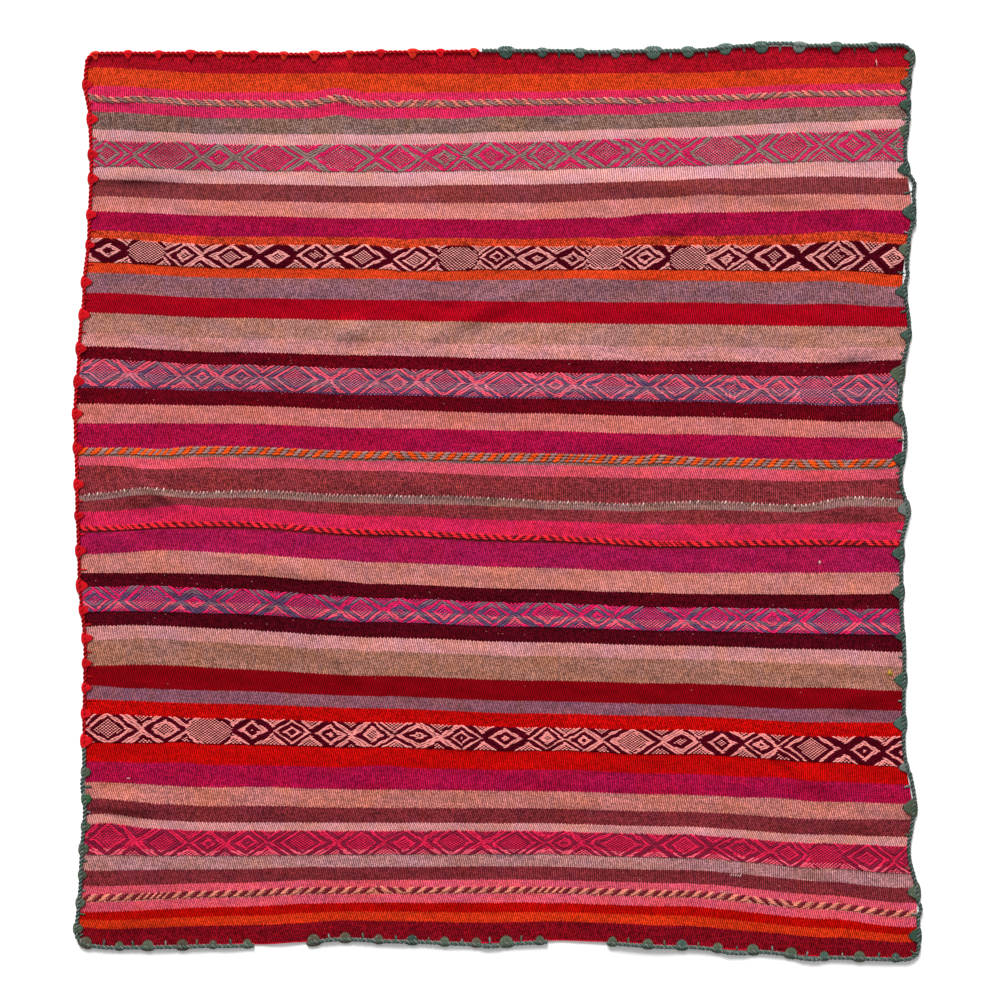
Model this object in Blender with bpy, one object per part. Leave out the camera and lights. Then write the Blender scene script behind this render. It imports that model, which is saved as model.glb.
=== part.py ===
"""Woven blanket of two striped panels sewn together along the middle, laid out flat, with a worked edging.

Metres, +Z up, lying on z = 0. +X runs along the stripes, +Y towards the top of the photograph.
Places are measured from the middle of the blanket as it lies.
"""

import math
import random

import bmesh
import bpy
from mathutils import Vector
from mathutils.bvhtree import BVHTree

CLOTH = 0.0025          # thickness of the cloth
LENGTH = 1.487          # length of a panel along its stripes, before the edges' own waviness
WIDTH = 0.803           # width of one panel, before the edges' own waviness
COLUMNS = 44            # cells along the stripes
ROWS = 46               # cells across one panel
RIM_CELLS = (0.010, 0.024)   # distances of the first grid lines from an outer edge
CORNER = 0.024          # radius of the blanket's corners
SEAM_GAP = 0.0006       # gap between the two panels along the seam

CLEAR = 0.0006          # gap between the cloth and what is sewn on it
CORD_OUT = 0.0062       # how far the running cord stands out past the cloth
CORD_LAP = 0.0018       # how far the cord laps over the cloth
CORD_HIGH = 0.0046      # height of the cord
KNOT_OUT = 0.0102       # how far a knot stands out past the cloth
KNOT_LAP = 0.0085       # how far a knot reaches over the cloth
KNOT_HIGH = 0.0058      # height of a knot
KNOT_HALF = 0.0105      # half of a knot's length along the edge
LAP_THICK = 0.0014      # thickness of what laps over the cloth

STITCH_REACH = 0.0036   # how far the seam stitches reach to each side
STITCH_PITCH = 0.0105   # distance along the seam from one side to the other
STITCH_WIDE = 0.0030    # width of the seam yarn
STITCH_THICK = 0.0011   # thickness of the seam yarn
SEAM_END = 0.018        # seam stitches stop this far short of each side

# The edges that run along the stripes: x, y.
TOP_EDGE = ((-0.736, 0.806), (-0.534, 0.806), (-0.354, 0.804), (-0.174, 0.808), (0.006, 0.810),
            (0.186, 0.808), (0.348, 0.810), (0.456, 0.819), (0.600, 0.819), (0.748, 0.820))
SEAM = ((-0.754, 0.010), (-0.696, 0.009), (-0.624, 0.016), (-0.444, 0.016), (-0.264, 0.012),
        (-0.084, 0.009), (0.096, 0.003), (0.231, -0.004), (0.366, 0.001), (0.546, -0.006), (0.636, 0.009),
        (0.733, 0.005))
BOTTOM_EDGE = ((-0.755, -0.794), (-0.696, -0.800), (-0.426, -0.796), (-0.354, -0.792), (-0.282, -0.785),
               (-0.174, -0.789), (-0.030, -0.794), (0.114, -0.789), (0.186, -0.791), (0.321, -0.798),
               (0.456, -0.807), (0.591, -0.818), (0.757, -0.821))
# The edges that run across the stripes: y, x.
LEFT_EDGE = ((-0.794, -0.755), (-0.663, -0.746), (-0.555, -0.739), (-0.411, -0.741), (-0.267, -0.739),
             (-0.123, -0.750), (0.021, -0.754), (0.165, -0.757), (0.273, -0.750), (0.381, -0.741),
             (0.489, -0.732), (0.597, -0.728), (0.687, -0.730), (0.750, -0.739), (0.806, -0.736))
RIGHT_EDGE = ((-0.819, 0.757), (-0.708, 0.755), (-0.627, 0.739), (-0.558, 0.748), (-0.429, 0.730),
              (-0.285, 0.731), (-0.177, 0.726), (-0.078, 0.726), (-0.018, 0.737), (0.039, 0.724),
              (0.111, 0.730), (0.201, 0.722), (0.309, 0.740), (0.399, 0.730), (0.525, 0.746),
              (0.633, 0.733), (0.741, 0.739), (0.820, 0.748))

# The folds: name, x, y, direction in degrees, half length, half width, lift.
FOLDS = (
    ("ridge at the left end of the seam", -0.638, 0.014, -22, 0.090, 0.034, 0.0080),
    ("crease at the lower left side", -0.660, -0.542, -3, 0.110, 0.032, 0.0070),
    ("ridge at the upper left side", -0.651, 0.594, -3, 0.120, 0.030, 0.0040),
    ("ridge by the top left corner", -0.669, 0.739, 0, 0.090, 0.028, 0.0035),
    ("long ridge through the upper right", 0.348, 0.565, -3, 0.350, 0.032, 0.0050),
    ("slanting wave under the long ridge", 0.307, 0.493, 21, 0.080, 0.030, 0.0050),
    ("slanting fold in the upper middle", -0.048, 0.331, 25, 0.160, 0.032, 0.0060),
    ("tail of the slanting fold", 0.222, 0.403, 5, 0.150, 0.030, 0.0040),
    ("bump left of the slanting fold", -0.260, 0.306, 10, 0.060, 0.030, 0.0050),
    ("slanting fold left of the middle", -0.390, -0.116, -11, 0.190, 0.032, 0.0050),
    ("steep little fold in the lower left", -0.286, -0.288, -52, 0.060, 0.030, 0.0040),
    ("slanting fold at the lower right", 0.568, -0.497, -32, 0.070, 0.030, 0.0050),
    ("pucker by the lower right corner", 0.568, -0.656, -15, 0.060, 0.030, 0.0050),
    ("ridge at the right above the seam", 0.636, 0.273, 8, 0.090, 0.030, 0.0040),
    ("ridge at the upper right side", 0.690, 0.673, 10, 0.060, 0.030, 0.0040),
    ("ridge at the lower right side", 0.654, -0.353, 3, 0.080, 0.030, 0.0040),
    ("swell above the seam", 0.186, 0.108, -2, 0.090, 0.030, 0.0030),
    ("swell below the seam", 0.285, -0.054, 2, 0.100, 0.030, 0.0030),
    ("swell in the pink stripes", 0.312, 0.219, -8, 0.080, 0.034, 0.0030),
    ("ridge at the right end of the seam", 0.636, -0.011, -5, 0.100, 0.032, 0.0040),
    ("ridge at the left under the seam", -0.687, -0.065, -15, 0.070, 0.030, 0.0050),
    ("soft upright wave in the lower right", 0.388, -0.591, 88, 0.150, 0.046, 0.0030),
    ("upright pucker in the top stripes", -0.273, 0.750, 80, 0.060, 0.040, 0.0050),
    ("ridge over the lower right corner", 0.632, -0.576, 0, 0.060, 0.028, 0.0030),
    ("ridge over the lower left corner", -0.660, -0.756, 0, 0.080, 0.028, 0.0030),
    ("lift along the seam", -0.102, 0.027, -3, 0.200, 0.032, 0.0040),
    ("lifted hem at the left gap", -0.386, -0.781, -2, 0.060, 0.040, 0.0035),
    ("lifted hem right of the middle", 0.258, -0.778, -4, 0.120, 0.044, 0.0040),
)

# The knots: part, side, first and last place along that side, number of knots, crowding towards the end.
KNOT_RUNS = (
    ("edging_red", "left", -0.429, 0.756, 22, -0.30),
    ("edging_red", "top", -0.723, -0.041, 13, 0.0),
    ("edging_green_right", "top", 0.017, 0.730, 13, 0.10),
    ("edging_green_right", "right", 0.768, -0.780, 23, 0.0),
    ("edging_green_right", "bottom", 0.717, 0.208, 9, 0.0),
    ("edging_green_middle", "bottom", 0.078, -0.329, 8, 0.0),
    ("edging_green_left", "bottom", -0.448, -0.739, 6, 0.0),
    ("edging_green_left", "left", -0.767, -0.486, 7, 0.0),
)

# The lengths of edging, clockwise from above: part, side and place of its start, side and place of its end.
EDGING_SPANS = (
    ("edging_red", "left", -0.436, "top", -0.030),
    ("edging_green_right", "top", -0.026, "bottom", 0.197),
    ("edging_green_middle", "bottom", 0.091, "bottom", -0.341),
    ("edging_green_left", "bottom", -0.437, "left", -0.441),
)

# red, green, blue, roughness
COLOURS = {
    "panel_upper": (0.46, 0.10, 0.10, 0.95),
    "panel_lower": (0.42, 0.07, 0.08, 0.95),
    "join_stitching": (0.62, 0.55, 0.48, 0.9),
    "edging_red": (0.55, 0.02, 0.04, 0.9),
    "edging_green_right": (0.17, 0.19, 0.15, 0.9),
    "edging_green_middle": (0.17, 0.19, 0.15, 0.9),
    "edging_green_left": (0.17, 0.19, 0.15, 0.9),
}


def clear_scene():
    """Removes whatever the start-up scene holds."""
    for thing in list(bpy.data.objects):
        bpy.data.objects.remove(thing, do_unlink=True)


def along(table, where):
    """Reads a two-column table at a value, easing smoothly from one row to the next."""
    if where <= table[0][0]:
        return float(table[0][1])
    for (start, before), (stop, after) in zip(table, table[1:]):
        if where <= stop:
            share = (where - start) / (stop - start)
            share = share * share * (3.0 - 2.0 * share)
            return before + (after - before) * share
    return float(table[-1][1])


def lift(x, y):
    """Height of the cloth's underside over the floor, from the folds it lies in."""
    height = 0.0
    for _name, fold_x, fold_y, direction, half_length, half_width, high in FOLDS:
        turn = math.radians(direction)
        forward = (x - fold_x) * math.cos(turn) + (y - fold_y) * math.sin(turn)
        across = (y - fold_y) * math.cos(turn) - (x - fold_x) * math.sin(turn)
        reach = math.hypot(forward / half_length, across / half_width)
        if reach < 1.0:
            height += high * 0.5 * (1.0 + math.cos(math.pi * reach))
    return height


def grid_lines(length, cells, rim_at_start, rim_at_end):
    """Distances of the grid lines over a length, with closer lines by an outer edge."""
    lines = [0.0]
    start, stop = 0.0, length
    if rim_at_start:
        lines += list(RIM_CELLS)
        start = RIM_CELLS[-1]
    if rim_at_end:
        stop = length - RIM_CELLS[-1]
    first = len(lines)
    middle = cells - (first - 1) - (len(RIM_CELLS) if rim_at_end else 0)
    lines += [start + (stop - start) * (step + 1) / middle for step in range(middle)]
    if rim_at_end:
        lines += [length - rim for rim in reversed(RIM_CELLS[:-1])] + [length]
    return lines


def rounded(left, right, outer):
    """Pulls a point in by an outer corner.

    left, right and outer are the point's distances from the two side edges and the outer edge.
    Returns the three distances once the point is moved onto the rounded corner's arcs.
    """
    side = min(left, right)
    if side >= CORNER or outer >= CORNER:
        return left, right, outer
    from_side, from_outer = CORNER - side, CORNER - outer
    size = math.hypot(from_side, from_outer)
    scale = max(from_side, from_outer) / size if size > 0.0 else 1.0
    moved_side = CORNER - from_side * scale
    moved_outer = CORNER - from_outer * scale
    shift = moved_side - side
    if left < right:
        return left + shift, right - shift, moved_outer
    return left - shift, right + shift, moved_outer


def panel_grid(upper):
    """Underside points of one panel, as rows from the seam out, each running from left to right."""
    edge = TOP_EDGE if upper else BOTTOM_EDGE
    across = grid_lines(LENGTH, COLUMNS, True, True)
    outwards = grid_lines(WIDTH, ROWS, False, True)
    grid = []
    for out in outwards:
        line = []
        for run in across:
            left, right, outer = rounded(run, LENGTH - run, WIDTH - out)
            share_x = left / LENGTH
            share_y = 1.0 - outer / WIDTH
            on_seam = SEAM[0][0] + (SEAM[-1][0] - SEAM[0][0]) * share_x
            on_edge = edge[0][0] + (edge[-1][0] - edge[0][0]) * share_x
            rough = on_seam * (1.0 - share_y) + on_edge * share_y
            y = along(SEAM, rough) * (1.0 - share_y) + along(edge, rough) * share_y
            x = along(LEFT_EDGE, y) * (1.0 - share_x) + along(RIGHT_EDGE, y) * share_x
            y += (0.5 if upper else -0.5) * SEAM_GAP * (1.0 - share_y)
            line.append(Vector((x, y, lift(x, y))))
        grid.append(line)
    return grid


def solid(name, verts, faces):
    """Makes one closed object from points and faces, with its own material."""
    mesh = bpy.data.meshes.new(name)
    mesh.from_pydata([tuple(vert) for vert in verts], [], faces)
    tidy = bmesh.new()
    tidy.from_mesh(mesh)
    bmesh.ops.recalc_face_normals(tidy, faces=tidy.faces)
    tidy.to_mesh(mesh)
    tidy.free()
    red, green, blue, rough = COLOURS[name]
    material = bpy.data.materials.new(name)
    material.use_nodes = True
    shader = material.node_tree.nodes["Principled BSDF"]
    shader.inputs["Base Color"].default_value = (red, green, blue, 1.0)
    shader.inputs["Roughness"].default_value = rough
    shader.inputs["Metallic"].default_value = 0.0
    mesh.materials.append(material)
    mesh.shade_smooth()
    mesh.set_sharp_from_angle(angle=math.radians(45.0))
    thing = bpy.data.objects.new(name, mesh)
    bpy.context.scene.collection.objects.link(thing)
    return thing


def panel(name, grid):
    """Closes a grid of underside points into a sheet of the cloth's thickness."""
    tall, wide = len(grid), len(grid[0])
    under = [point for line in grid for point in line]
    over = [point + Vector((0.0, 0.0, CLOTH)) for point in under]
    count = len(under)
    faces = []
    for row in range(tall - 1):
        for column in range(wide - 1):
            near = row * wide + column
            corners = (near, near + 1, near + wide + 1, near + wide)
            for first, second, third in ((0, 1, 2), (0, 2, 3)):
                faces.append((corners[third], corners[second], corners[first]))
                faces.append((corners[first] + count, corners[second] + count, corners[third] + count))
    rim = list(range(wide))
    rim += [row * wide + wide - 1 for row in range(1, tall)]
    rim += [(tall - 1) * wide + column for column in range(wide - 2, -1, -1)]
    rim += [row * wide for row in range(tall - 2, 0, -1)]
    for here, there in zip(rim, rim[1:] + rim[:1]):
        faces.append((here, there, there + count, here + count))
    return solid(name, under + over, faces)


def outline(upper_grid, lower_grid):
    """The blanket's edge, clockwise in the photograph from the seam's left end, as (side, point) pairs."""
    loop = [("left", line[0]) for line in upper_grid]
    loop += [("top", point) for point in upper_grid[-1][1:]]
    loop += [("right", line[-1]) for line in reversed(upper_grid[:-1])]
    loop += [("right", line[-1]) for line in lower_grid[1:]]
    loop += [("bottom", point) for point in reversed(lower_grid[-1][:-1])]
    loop += [("left", line[0]) for line in reversed(lower_grid[1:-1])]
    return loop


class EdgePath:
    """The blanket's edge as a closed path that can be read at any distance along it."""

    def __init__(self, loop):
        """Stores the loop's points and adds up the distances along it."""
        self.sides = [side for side, _point in loop]
        self.points = [point for _side, point in loop]
        self.distances = [0.0]
        for here, there in zip(self.points, self.points[1:] + self.points[:1]):
            self.distances.append(self.distances[-1] + (there - here).length)
        self.length = self.distances[-1]

    def point(self, distance):
        """The point at a distance along the path."""
        distance %= self.length
        for index, start in enumerate(self.distances[:-1]):
            stop = self.distances[index + 1]
            if distance <= stop:
                share = (distance - start) / (stop - start)
                there = self.points[(index + 1) % len(self.points)]
                return self.points[index].lerp(there, share)
        return self.points[0].copy()

    def outward(self, distance):
        """The level direction that leads away from the cloth at a distance along the path."""
        ahead = self.point(distance + 0.006) - self.point(distance - 0.006)
        return Vector((-ahead.y, ahead.x, 0.0)).normalized()

    def bend(self, index):
        """How sharply the path turns at one of its points, in radians."""
        before = self.points[index] - self.points[index - 1]
        after = self.points[(index + 1) % len(self.points)] - self.points[index]
        return before.xy.angle(after.xy)

    def find(self, side, value):
        """Distance along the path where a side reaches a value of y, or of x at the top and bottom."""
        upright = side in ("left", "right")
        best, best_gap = 0.0, 1e9
        steps = 4000
        for step in range(steps):
            distance = self.length * step / steps
            place = self.point(distance)
            if side == "left" and place.x > 0.0 or side == "right" and place.x < 0.0:
                continue
            if side == "top" and place.y < 0.7 or side == "bottom" and place.y > -0.7:
                continue
            gap = abs((place.y if upright else place.x) - value)
            if gap < best_gap:
                best, best_gap = distance, gap
        return best


def knot_places(path):
    """Distances of all the knots along the path, for each edging part."""
    dice = random.Random(11)
    places = {}
    for part, side, first, last, count, crowding in KNOT_RUNS:
        start, stop = path.find(side, first), path.find(side, last)
        if stop < start:
            stop += path.length
        for number in range(count):
            share = number / (count - 1)
            share += crowding * share * (1.0 - share)
            where = start + (stop - start) * share
            if 0 < number < count - 1:
                where += dice.uniform(-0.004, 0.004)
            places.setdefault(part, []).append((where, dice.uniform(0.85, 1.15)))
    return places


def share_between(knots, place, length):
    """How full a knot is at a place along the path, 0 between the knots."""
    fullest = 0.0
    for where, size in knots:
        away = abs((place - where + length / 2.0) % length - length / 2.0) / (KNOT_HALF * size)
        fullest = max(fullest, size * min(1.0, max(0.0, (1.0 - away) / 0.55)))
    return fullest


def edging(name, path, start, stop, knots, tops):
    """Sweeps the cord and its knots along the cloth's edge from one distance to another."""
    if stop < start:
        stop += path.length
    stations = {}
    for where, size in knots:
        while where < start:
            where += path.length
        for offset, share in ((-1.0, 0.0), (-0.45, 1.0), (0.45, 1.0), (1.0, 0.0)):
            place = where + offset * KNOT_HALF * size
            if start + 0.002 < place < stop - 0.002:
                stations[place] = share * size
    spare = sorted(stations)
    for lap in (0.0, path.length):
        for index, distance in enumerate(path.distances[:-1]):
            place = distance + lap
            if not start < place < stop:
                continue
            nearest = min(abs(place - other) for other in spare)
            if nearest > 0.009 or path.bend(index) > 0.03 and nearest > 0.0004:
                stations[place] = share_between(knots, place, path.length)
    stations[start] = 0.0
    stations[stop] = 0.0
    verts, faces = [], []
    for place in sorted(stations):
        full = stations[place]
        here, away = path.point(place), path.outward(place)
        out = CORD_OUT + (KNOT_OUT - CORD_OUT) * full
        lap = CORD_LAP + (KNOT_LAP - CORD_LAP) * full
        high = CORD_HIGH + (KNOT_HIGH - CORD_HIGH) * full
        root = cloth_top(tops, here - away * 0.0003, here.z) + CLEAR
        tip = max(cloth_top(tops, here - away * reach, here.z) for reach in (lap, lap * 0.5)) + CLEAR
        section = (
            (CLEAR, here.z), (out, here.z), (out - 0.0008, here.z + high),
            (-lap, tip + LAP_THICK), (-lap, tip), (CLEAR, root),
        )
        for level, height in section:
            verts.append(Vector((here.x + away.x * level, here.y + away.y * level, height)))
    size = 6
    rings = len(stations)
    for ring in range(rings - 1):
        for corner in range(size):
            following = (corner + 1) % size
            first, second = ring * size + corner, ring * size + following
            faces.append((first, second, second + size))
            faces.append((first, second + size, first + size))
    faces.append(tuple(range(size)))
    faces.append(tuple(range((rings - 1) * size, rings * size)))
    return solid(name, verts, faces)


def cloth_top(tops, place, fallback):
    """Height of the cloth's upper face under or over a place, or the edge's own height where it misses."""
    highest = fallback + CLOTH
    found = False
    for tree in tops:
        hit = tree.ray_cast(Vector((place.x, place.y, 1.0)), Vector((0.0, 0.0, -1.0)))[0]
        if hit is not None:
            highest = hit.z if not found else max(highest, hit.z)
            found = True
    return highest


def seam_stitching(name, tops, upper_grid):
    """The yarn that zigzags over the seam and holds the two panels together."""
    start = upper_grid[0][0].x + SEAM_END
    stop = upper_grid[0][-1].x - SEAM_END
    turns = int((stop - start) / STITCH_PITCH)
    verts, faces = [], []
    for turn in range(turns + 1):
        x = start + (stop - start) * turn / turns
        y = along(SEAM, x) + (STITCH_REACH if turn % 2 else -STITCH_REACH)
        heights = [cloth_top(tops, Vector((x + dx, y + dy, 0.0)), 0.0)
                   for dx in (-0.004, 0.0, 0.004) for dy in (-STITCH_WIDE, 0.0, STITCH_WIDE)]
        low = max(heights) + CLEAR
        for dy, z in ((-0.5, low), (0.5, low), (0.5, low + STITCH_THICK), (-0.5, low + STITCH_THICK)):
            verts.append(Vector((x, y + dy * STITCH_WIDE, z)))
    for turn in range(turns):
        for corner in range(4):
            following = (corner + 1) % 4
            first, second = turn * 4 + corner, turn * 4 + following
            faces.append((first, second, second + 4))
            faces.append((first, second + 4, first + 4))
    faces.append((0, 1, 2, 3))
    faces.append((turns * 4, turns * 4 + 1, turns * 4 + 2, turns * 4 + 3))
    return solid(name, verts, faces)


def top_tree(thing):
    """A search tree over one object's faces."""
    corners = [vert.co.copy() for vert in thing.data.vertices]
    return BVHTree.FromPolygons(corners, [tuple(face.vertices) for face in thing.data.polygons])


def build():
    """Builds the two panels, the seam stitching and the four lengths of edging."""
    clear_scene()
    upper_grid, lower_grid = panel_grid(True), panel_grid(False)
    tops = [top_tree(panel("panel_upper", upper_grid)), top_tree(panel("panel_lower", lower_grid))]
    seam_stitching("join_stitching", tops, upper_grid)
    path = EdgePath(outline(upper_grid, lower_grid))
    places = knot_places(path)
    for part, start_side, start_place, stop_side, stop_place in EDGING_SPANS:
        start, stop = path.find(start_side, start_place), path.find(stop_side, stop_place)
        edging(part, path, start, stop, places[part], tops)


build()
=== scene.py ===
"""Looks of a striped hand-woven blanket: two panels sewn along the middle, with a worked edging."""

import logging
import math
import random
from dataclasses import dataclass
from enum import Enum
from typing import Sequence

import bmesh
import bpy
import numpy as np
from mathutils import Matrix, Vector


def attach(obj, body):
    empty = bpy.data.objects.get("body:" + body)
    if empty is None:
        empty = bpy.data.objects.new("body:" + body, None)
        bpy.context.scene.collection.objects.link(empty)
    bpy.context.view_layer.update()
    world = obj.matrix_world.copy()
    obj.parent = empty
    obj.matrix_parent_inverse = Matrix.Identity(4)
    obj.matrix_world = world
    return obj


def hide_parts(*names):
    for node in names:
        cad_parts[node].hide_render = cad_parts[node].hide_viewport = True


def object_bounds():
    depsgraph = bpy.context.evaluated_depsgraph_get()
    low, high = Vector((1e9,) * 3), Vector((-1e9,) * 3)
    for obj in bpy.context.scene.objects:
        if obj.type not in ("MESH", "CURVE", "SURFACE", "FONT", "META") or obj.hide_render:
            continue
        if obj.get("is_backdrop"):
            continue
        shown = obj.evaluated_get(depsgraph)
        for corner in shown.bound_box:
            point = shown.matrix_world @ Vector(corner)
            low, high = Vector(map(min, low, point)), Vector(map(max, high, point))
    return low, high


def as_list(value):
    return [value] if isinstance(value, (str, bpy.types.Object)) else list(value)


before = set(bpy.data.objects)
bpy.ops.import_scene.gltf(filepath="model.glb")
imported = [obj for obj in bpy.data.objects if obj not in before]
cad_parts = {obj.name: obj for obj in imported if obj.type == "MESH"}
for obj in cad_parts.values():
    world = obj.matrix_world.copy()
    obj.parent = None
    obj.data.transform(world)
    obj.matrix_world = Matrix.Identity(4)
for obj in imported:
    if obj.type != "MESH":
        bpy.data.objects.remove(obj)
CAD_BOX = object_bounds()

log = logging.getLogger("blanket")

Table = Sequence[Sequence[float]]
Colour = tuple[float, float, float]
Shade = tuple[float, float, float, float]

LENGTH = 1.487          # length of a panel along its stripes
CLOTH = 0.0025          # thickness of the cloth
CORNER = 0.024          # radius of the blanket's corners
SEAM_GAP = 0.0006       # gap between the two panels
PICK = 0.0034           # distance from one weft to the next, along the stripes
STEP = 0.002            # how far apart two points are that give a direction on the cloth
MILLIMETRE = 0.001
LIGHT_LEVEL = 1.5       # how much brighter than its own colour a level surface looks under the lights


class Dye(Enum):
    """The colours of the yarns, as they look in daylight."""

    CRIMSON = "A80D20"
    DEEP_CRIMSON = "7A0817"
    ORANGE = "D23D1A"
    BURNT_ORANGE = "CB2F10"
    RUST = "C93F20"
    PINK = "DF2A56"
    HOT_PINK = "D62858"
    RASPBERRY = "D2244F"
    LIGHT_PINK = "DE9A9A"
    DUSTY_PINK = "CC8684"
    SALMON = "D47E76"
    ROSE = "CB716B"
    CLAY = "BE7067"
    CORAL = "D65062"
    MAGENTA = "A20D3C"
    PURPLE_RED = "A21547"
    SCARLET = "B90605"
    DARK_RED = "80010C"
    CLARET = "A30318"
    MAROON = "620313"
    OXBLOOD = "4F0412"
    NIGHT_MAROON = "560016"
    BROWN_RED = "88383B"
    BROWN = "862F35"
    CHESTNUT = "79282F"
    TAUPE = "88655C"
    BEIGE = "B1786C"
    ROSE_GREY = "B07777"
    LAVENDER = "905E66"
    DUSK = "885261"
    SAND = "A26B5B"
    SLATE = "6C4C70"
    WINE = "8E1E3C"
    FLOAT_PINK = "F6A29E"
    FLOAT_HOT = "EC2467"
    FLOAT_CORAL = "FA6078"
    FLOAT_TAUPE = "A0807A"
    FLOAT_SALMON = "FA9894"
    TAN = "EC8C76"
    FLOAT_GREY = "8E6676"
    FLOAT_ROSE = "E0788C"
    BRAID_TAUPE = "A87A74"
    BRAID_SALMON = "F2907E"
    BRAID_ORANGE = "F65618"
    BRAID_RED = "FF2C38"
    BRAID_BROWN = "7C1E2C"
    PALE_PINK = "F4D2CA"
    EDGE_RED = "D81420"
    EDGE_WINE = "C8121E"
    EDGE_GREEN = "37643F"
    EDGE_TEAL = "486056"
    EDGE_GREY = "7C837E"
    EDGE_OLIVE = "58614E"
    EDGE_DRAB = "5E5648"
    EDGE_MOSS = "5A7268"
    HEM_RED = "C01028"
    OLD_ROSE = "C6786F"
    BLOOD_RED = "AE0602"
    FLOAT_CERISE = "E22450"
    EDGE_BRIGHT = "E03422"
    EDGE_DEEP = "3C5549"
    SEAM_TAUPE = "966A64"
    STRAW = "D2A83C"

    @property
    def albedo(self) -> Colour:
        """The dye as a linear colour, made darker by the light's level."""
        parts = [int(self.value[start:start + 2], 16) / 255.0 for start in (0, 2, 4)]
        linear = [part / 12.92 if part <= 0.04045 else ((part + 0.055) / 1.055) ** 2.4 for part in parts]
        return tuple(part / LIGHT_LEVEL for part in linear)


class Work(Enum):
    """The ways a stripe is worked."""

    PLAIN = "plain"
    DIAMONDS = "diamonds"
    BRAID = "braid"


@dataclass(frozen=True)
class Stripe:
    """One stripe of a panel, with its width, its dye, how it is worked and its second dye."""

    width: float
    dye: Dye
    work: Work = Work.PLAIN
    other: Dye | None = None
    mottle: float = 1.0


UPPER_STRIPES = (
    Stripe(0.0360, Dye.CRIMSON, mottle=1.25),
    Stripe(0.0306, Dye.ORANGE, mottle=1.25),
    Stripe(0.0160, Dye.PINK),
    Stripe(0.0110, Dye.BRAID_TAUPE, Work.BRAID, Dye.BRAID_SALMON),
    Stripe(0.0194, Dye.HOT_PINK),
    Stripe(0.0270, Dye.TAUPE, mottle=1.6),
    Stripe(0.0204, Dye.LIGHT_PINK, mottle=0.6),
    Stripe(0.0486, Dye.FLOAT_HOT, Work.DIAMONDS, Dye.FLOAT_TAUPE),
    Stripe(0.0264, Dye.LIGHT_PINK, mottle=0.7),
    Stripe(0.0292, Dye.BROWN_RED, mottle=1.25),
    Stripe(0.0286, Dye.SALMON, mottle=0.9),
    Stripe(0.0388, Dye.MAGENTA, mottle=1.35),
    Stripe(0.0176, Dye.RUST, mottle=1.8),
    Stripe(0.0422, Dye.FLOAT_PINK, Work.DIAMONDS, Dye.NIGHT_MAROON),
    Stripe(0.0190, Dye.ORANGE, mottle=1.15),
    Stripe(0.0370, Dye.LAVENDER, mottle=1.4),
    Stripe(0.0394, Dye.CLARET, mottle=0.8),
    Stripe(0.0368, Dye.BEIGE, mottle=1.2),
    Stripe(0.0256, Dye.DUSTY_PINK, mottle=1.15),
    Stripe(0.0260, Dye.MAROON, mottle=1.8),
    Stripe(0.0442, Dye.FLOAT_CORAL, Work.DIAMONDS, Dye.SLATE),
    Stripe(0.0310, Dye.MAROON, mottle=1.5),
    Stripe(0.0310, Dye.ROSE),
    Stripe(0.0412, Dye.MAGENTA, mottle=1.35),
    Stripe(0.0160, Dye.BRAID_ORANGE, Work.BRAID, Dye.BRAID_TAUPE),
    Stripe(0.0216, Dye.CORAL),
    Stripe(0.0414, Dye.BROWN, mottle=1.7),
    Stripe(0.0030, Dye.SEAM_TAUPE),
)

LOWER_STRIPES = (
    Stripe(0.0110, Dye.SEAM_TAUPE),
    Stripe(0.0216, Dye.BROWN, mottle=1.5),
    Stripe(0.0284, Dye.RASPBERRY),
    Stripe(0.0114, Dye.BRAID_RED, Work.BRAID, Dye.BRAID_BROWN),
    Stripe(0.0446, Dye.PURPLE_RED, mottle=1.35),
    Stripe(0.0376, Dye.OLD_ROSE, mottle=1.1),
    Stripe(0.0294, Dye.OXBLOOD, mottle=1.9),
    Stripe(0.0420, Dye.FLOAT_HOT, Work.DIAMONDS, Dye.SLATE),
    Stripe(0.0272, Dye.OXBLOOD, mottle=1.7),
    Stripe(0.0240, Dye.DUSTY_PINK),
    Stripe(0.0438, Dye.SAND, mottle=1.35),
    Stripe(0.0386, Dye.DARK_RED, mottle=0.6),
    Stripe(0.0218, Dye.DUSK, mottle=1.2),
    Stripe(0.0290, Dye.SCARLET, mottle=1.4),
    Stripe(0.0444, Dye.FLOAT_SALMON, Work.DIAMONDS, Dye.NIGHT_MAROON),
    Stripe(0.0340, Dye.SCARLET),
    Stripe(0.0374, Dye.MAGENTA, mottle=1.35),
    Stripe(0.0326, Dye.CLAY, mottle=1.25),
    Stripe(0.0268, Dye.CHESTNUT, mottle=1.6),
    Stripe(0.0184, Dye.DUSTY_PINK, mottle=0.8),
    Stripe(0.0440, Dye.FLOAT_CERISE, Work.DIAMONDS, Dye.WINE),
    Stripe(0.0226, Dye.ROSE_GREY, mottle=1.25),
    Stripe(0.0250, Dye.CHESTNUT, mottle=1.4),
    Stripe(0.0160, Dye.CORAL),
    Stripe(0.0106, Dye.BRAID_BROWN, Work.BRAID, Dye.TAN),
    Stripe(0.0146, Dye.CORAL),
    Stripe(0.0182, Dye.BLOOD_RED),
    Stripe(0.0134, Dye.BURNT_ORANGE, mottle=1.15),
    Stripe(0.0320, Dye.DEEP_CRIMSON, mottle=1.6),
    Stripe(0.0052, Dye.HEM_RED),
)


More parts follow.
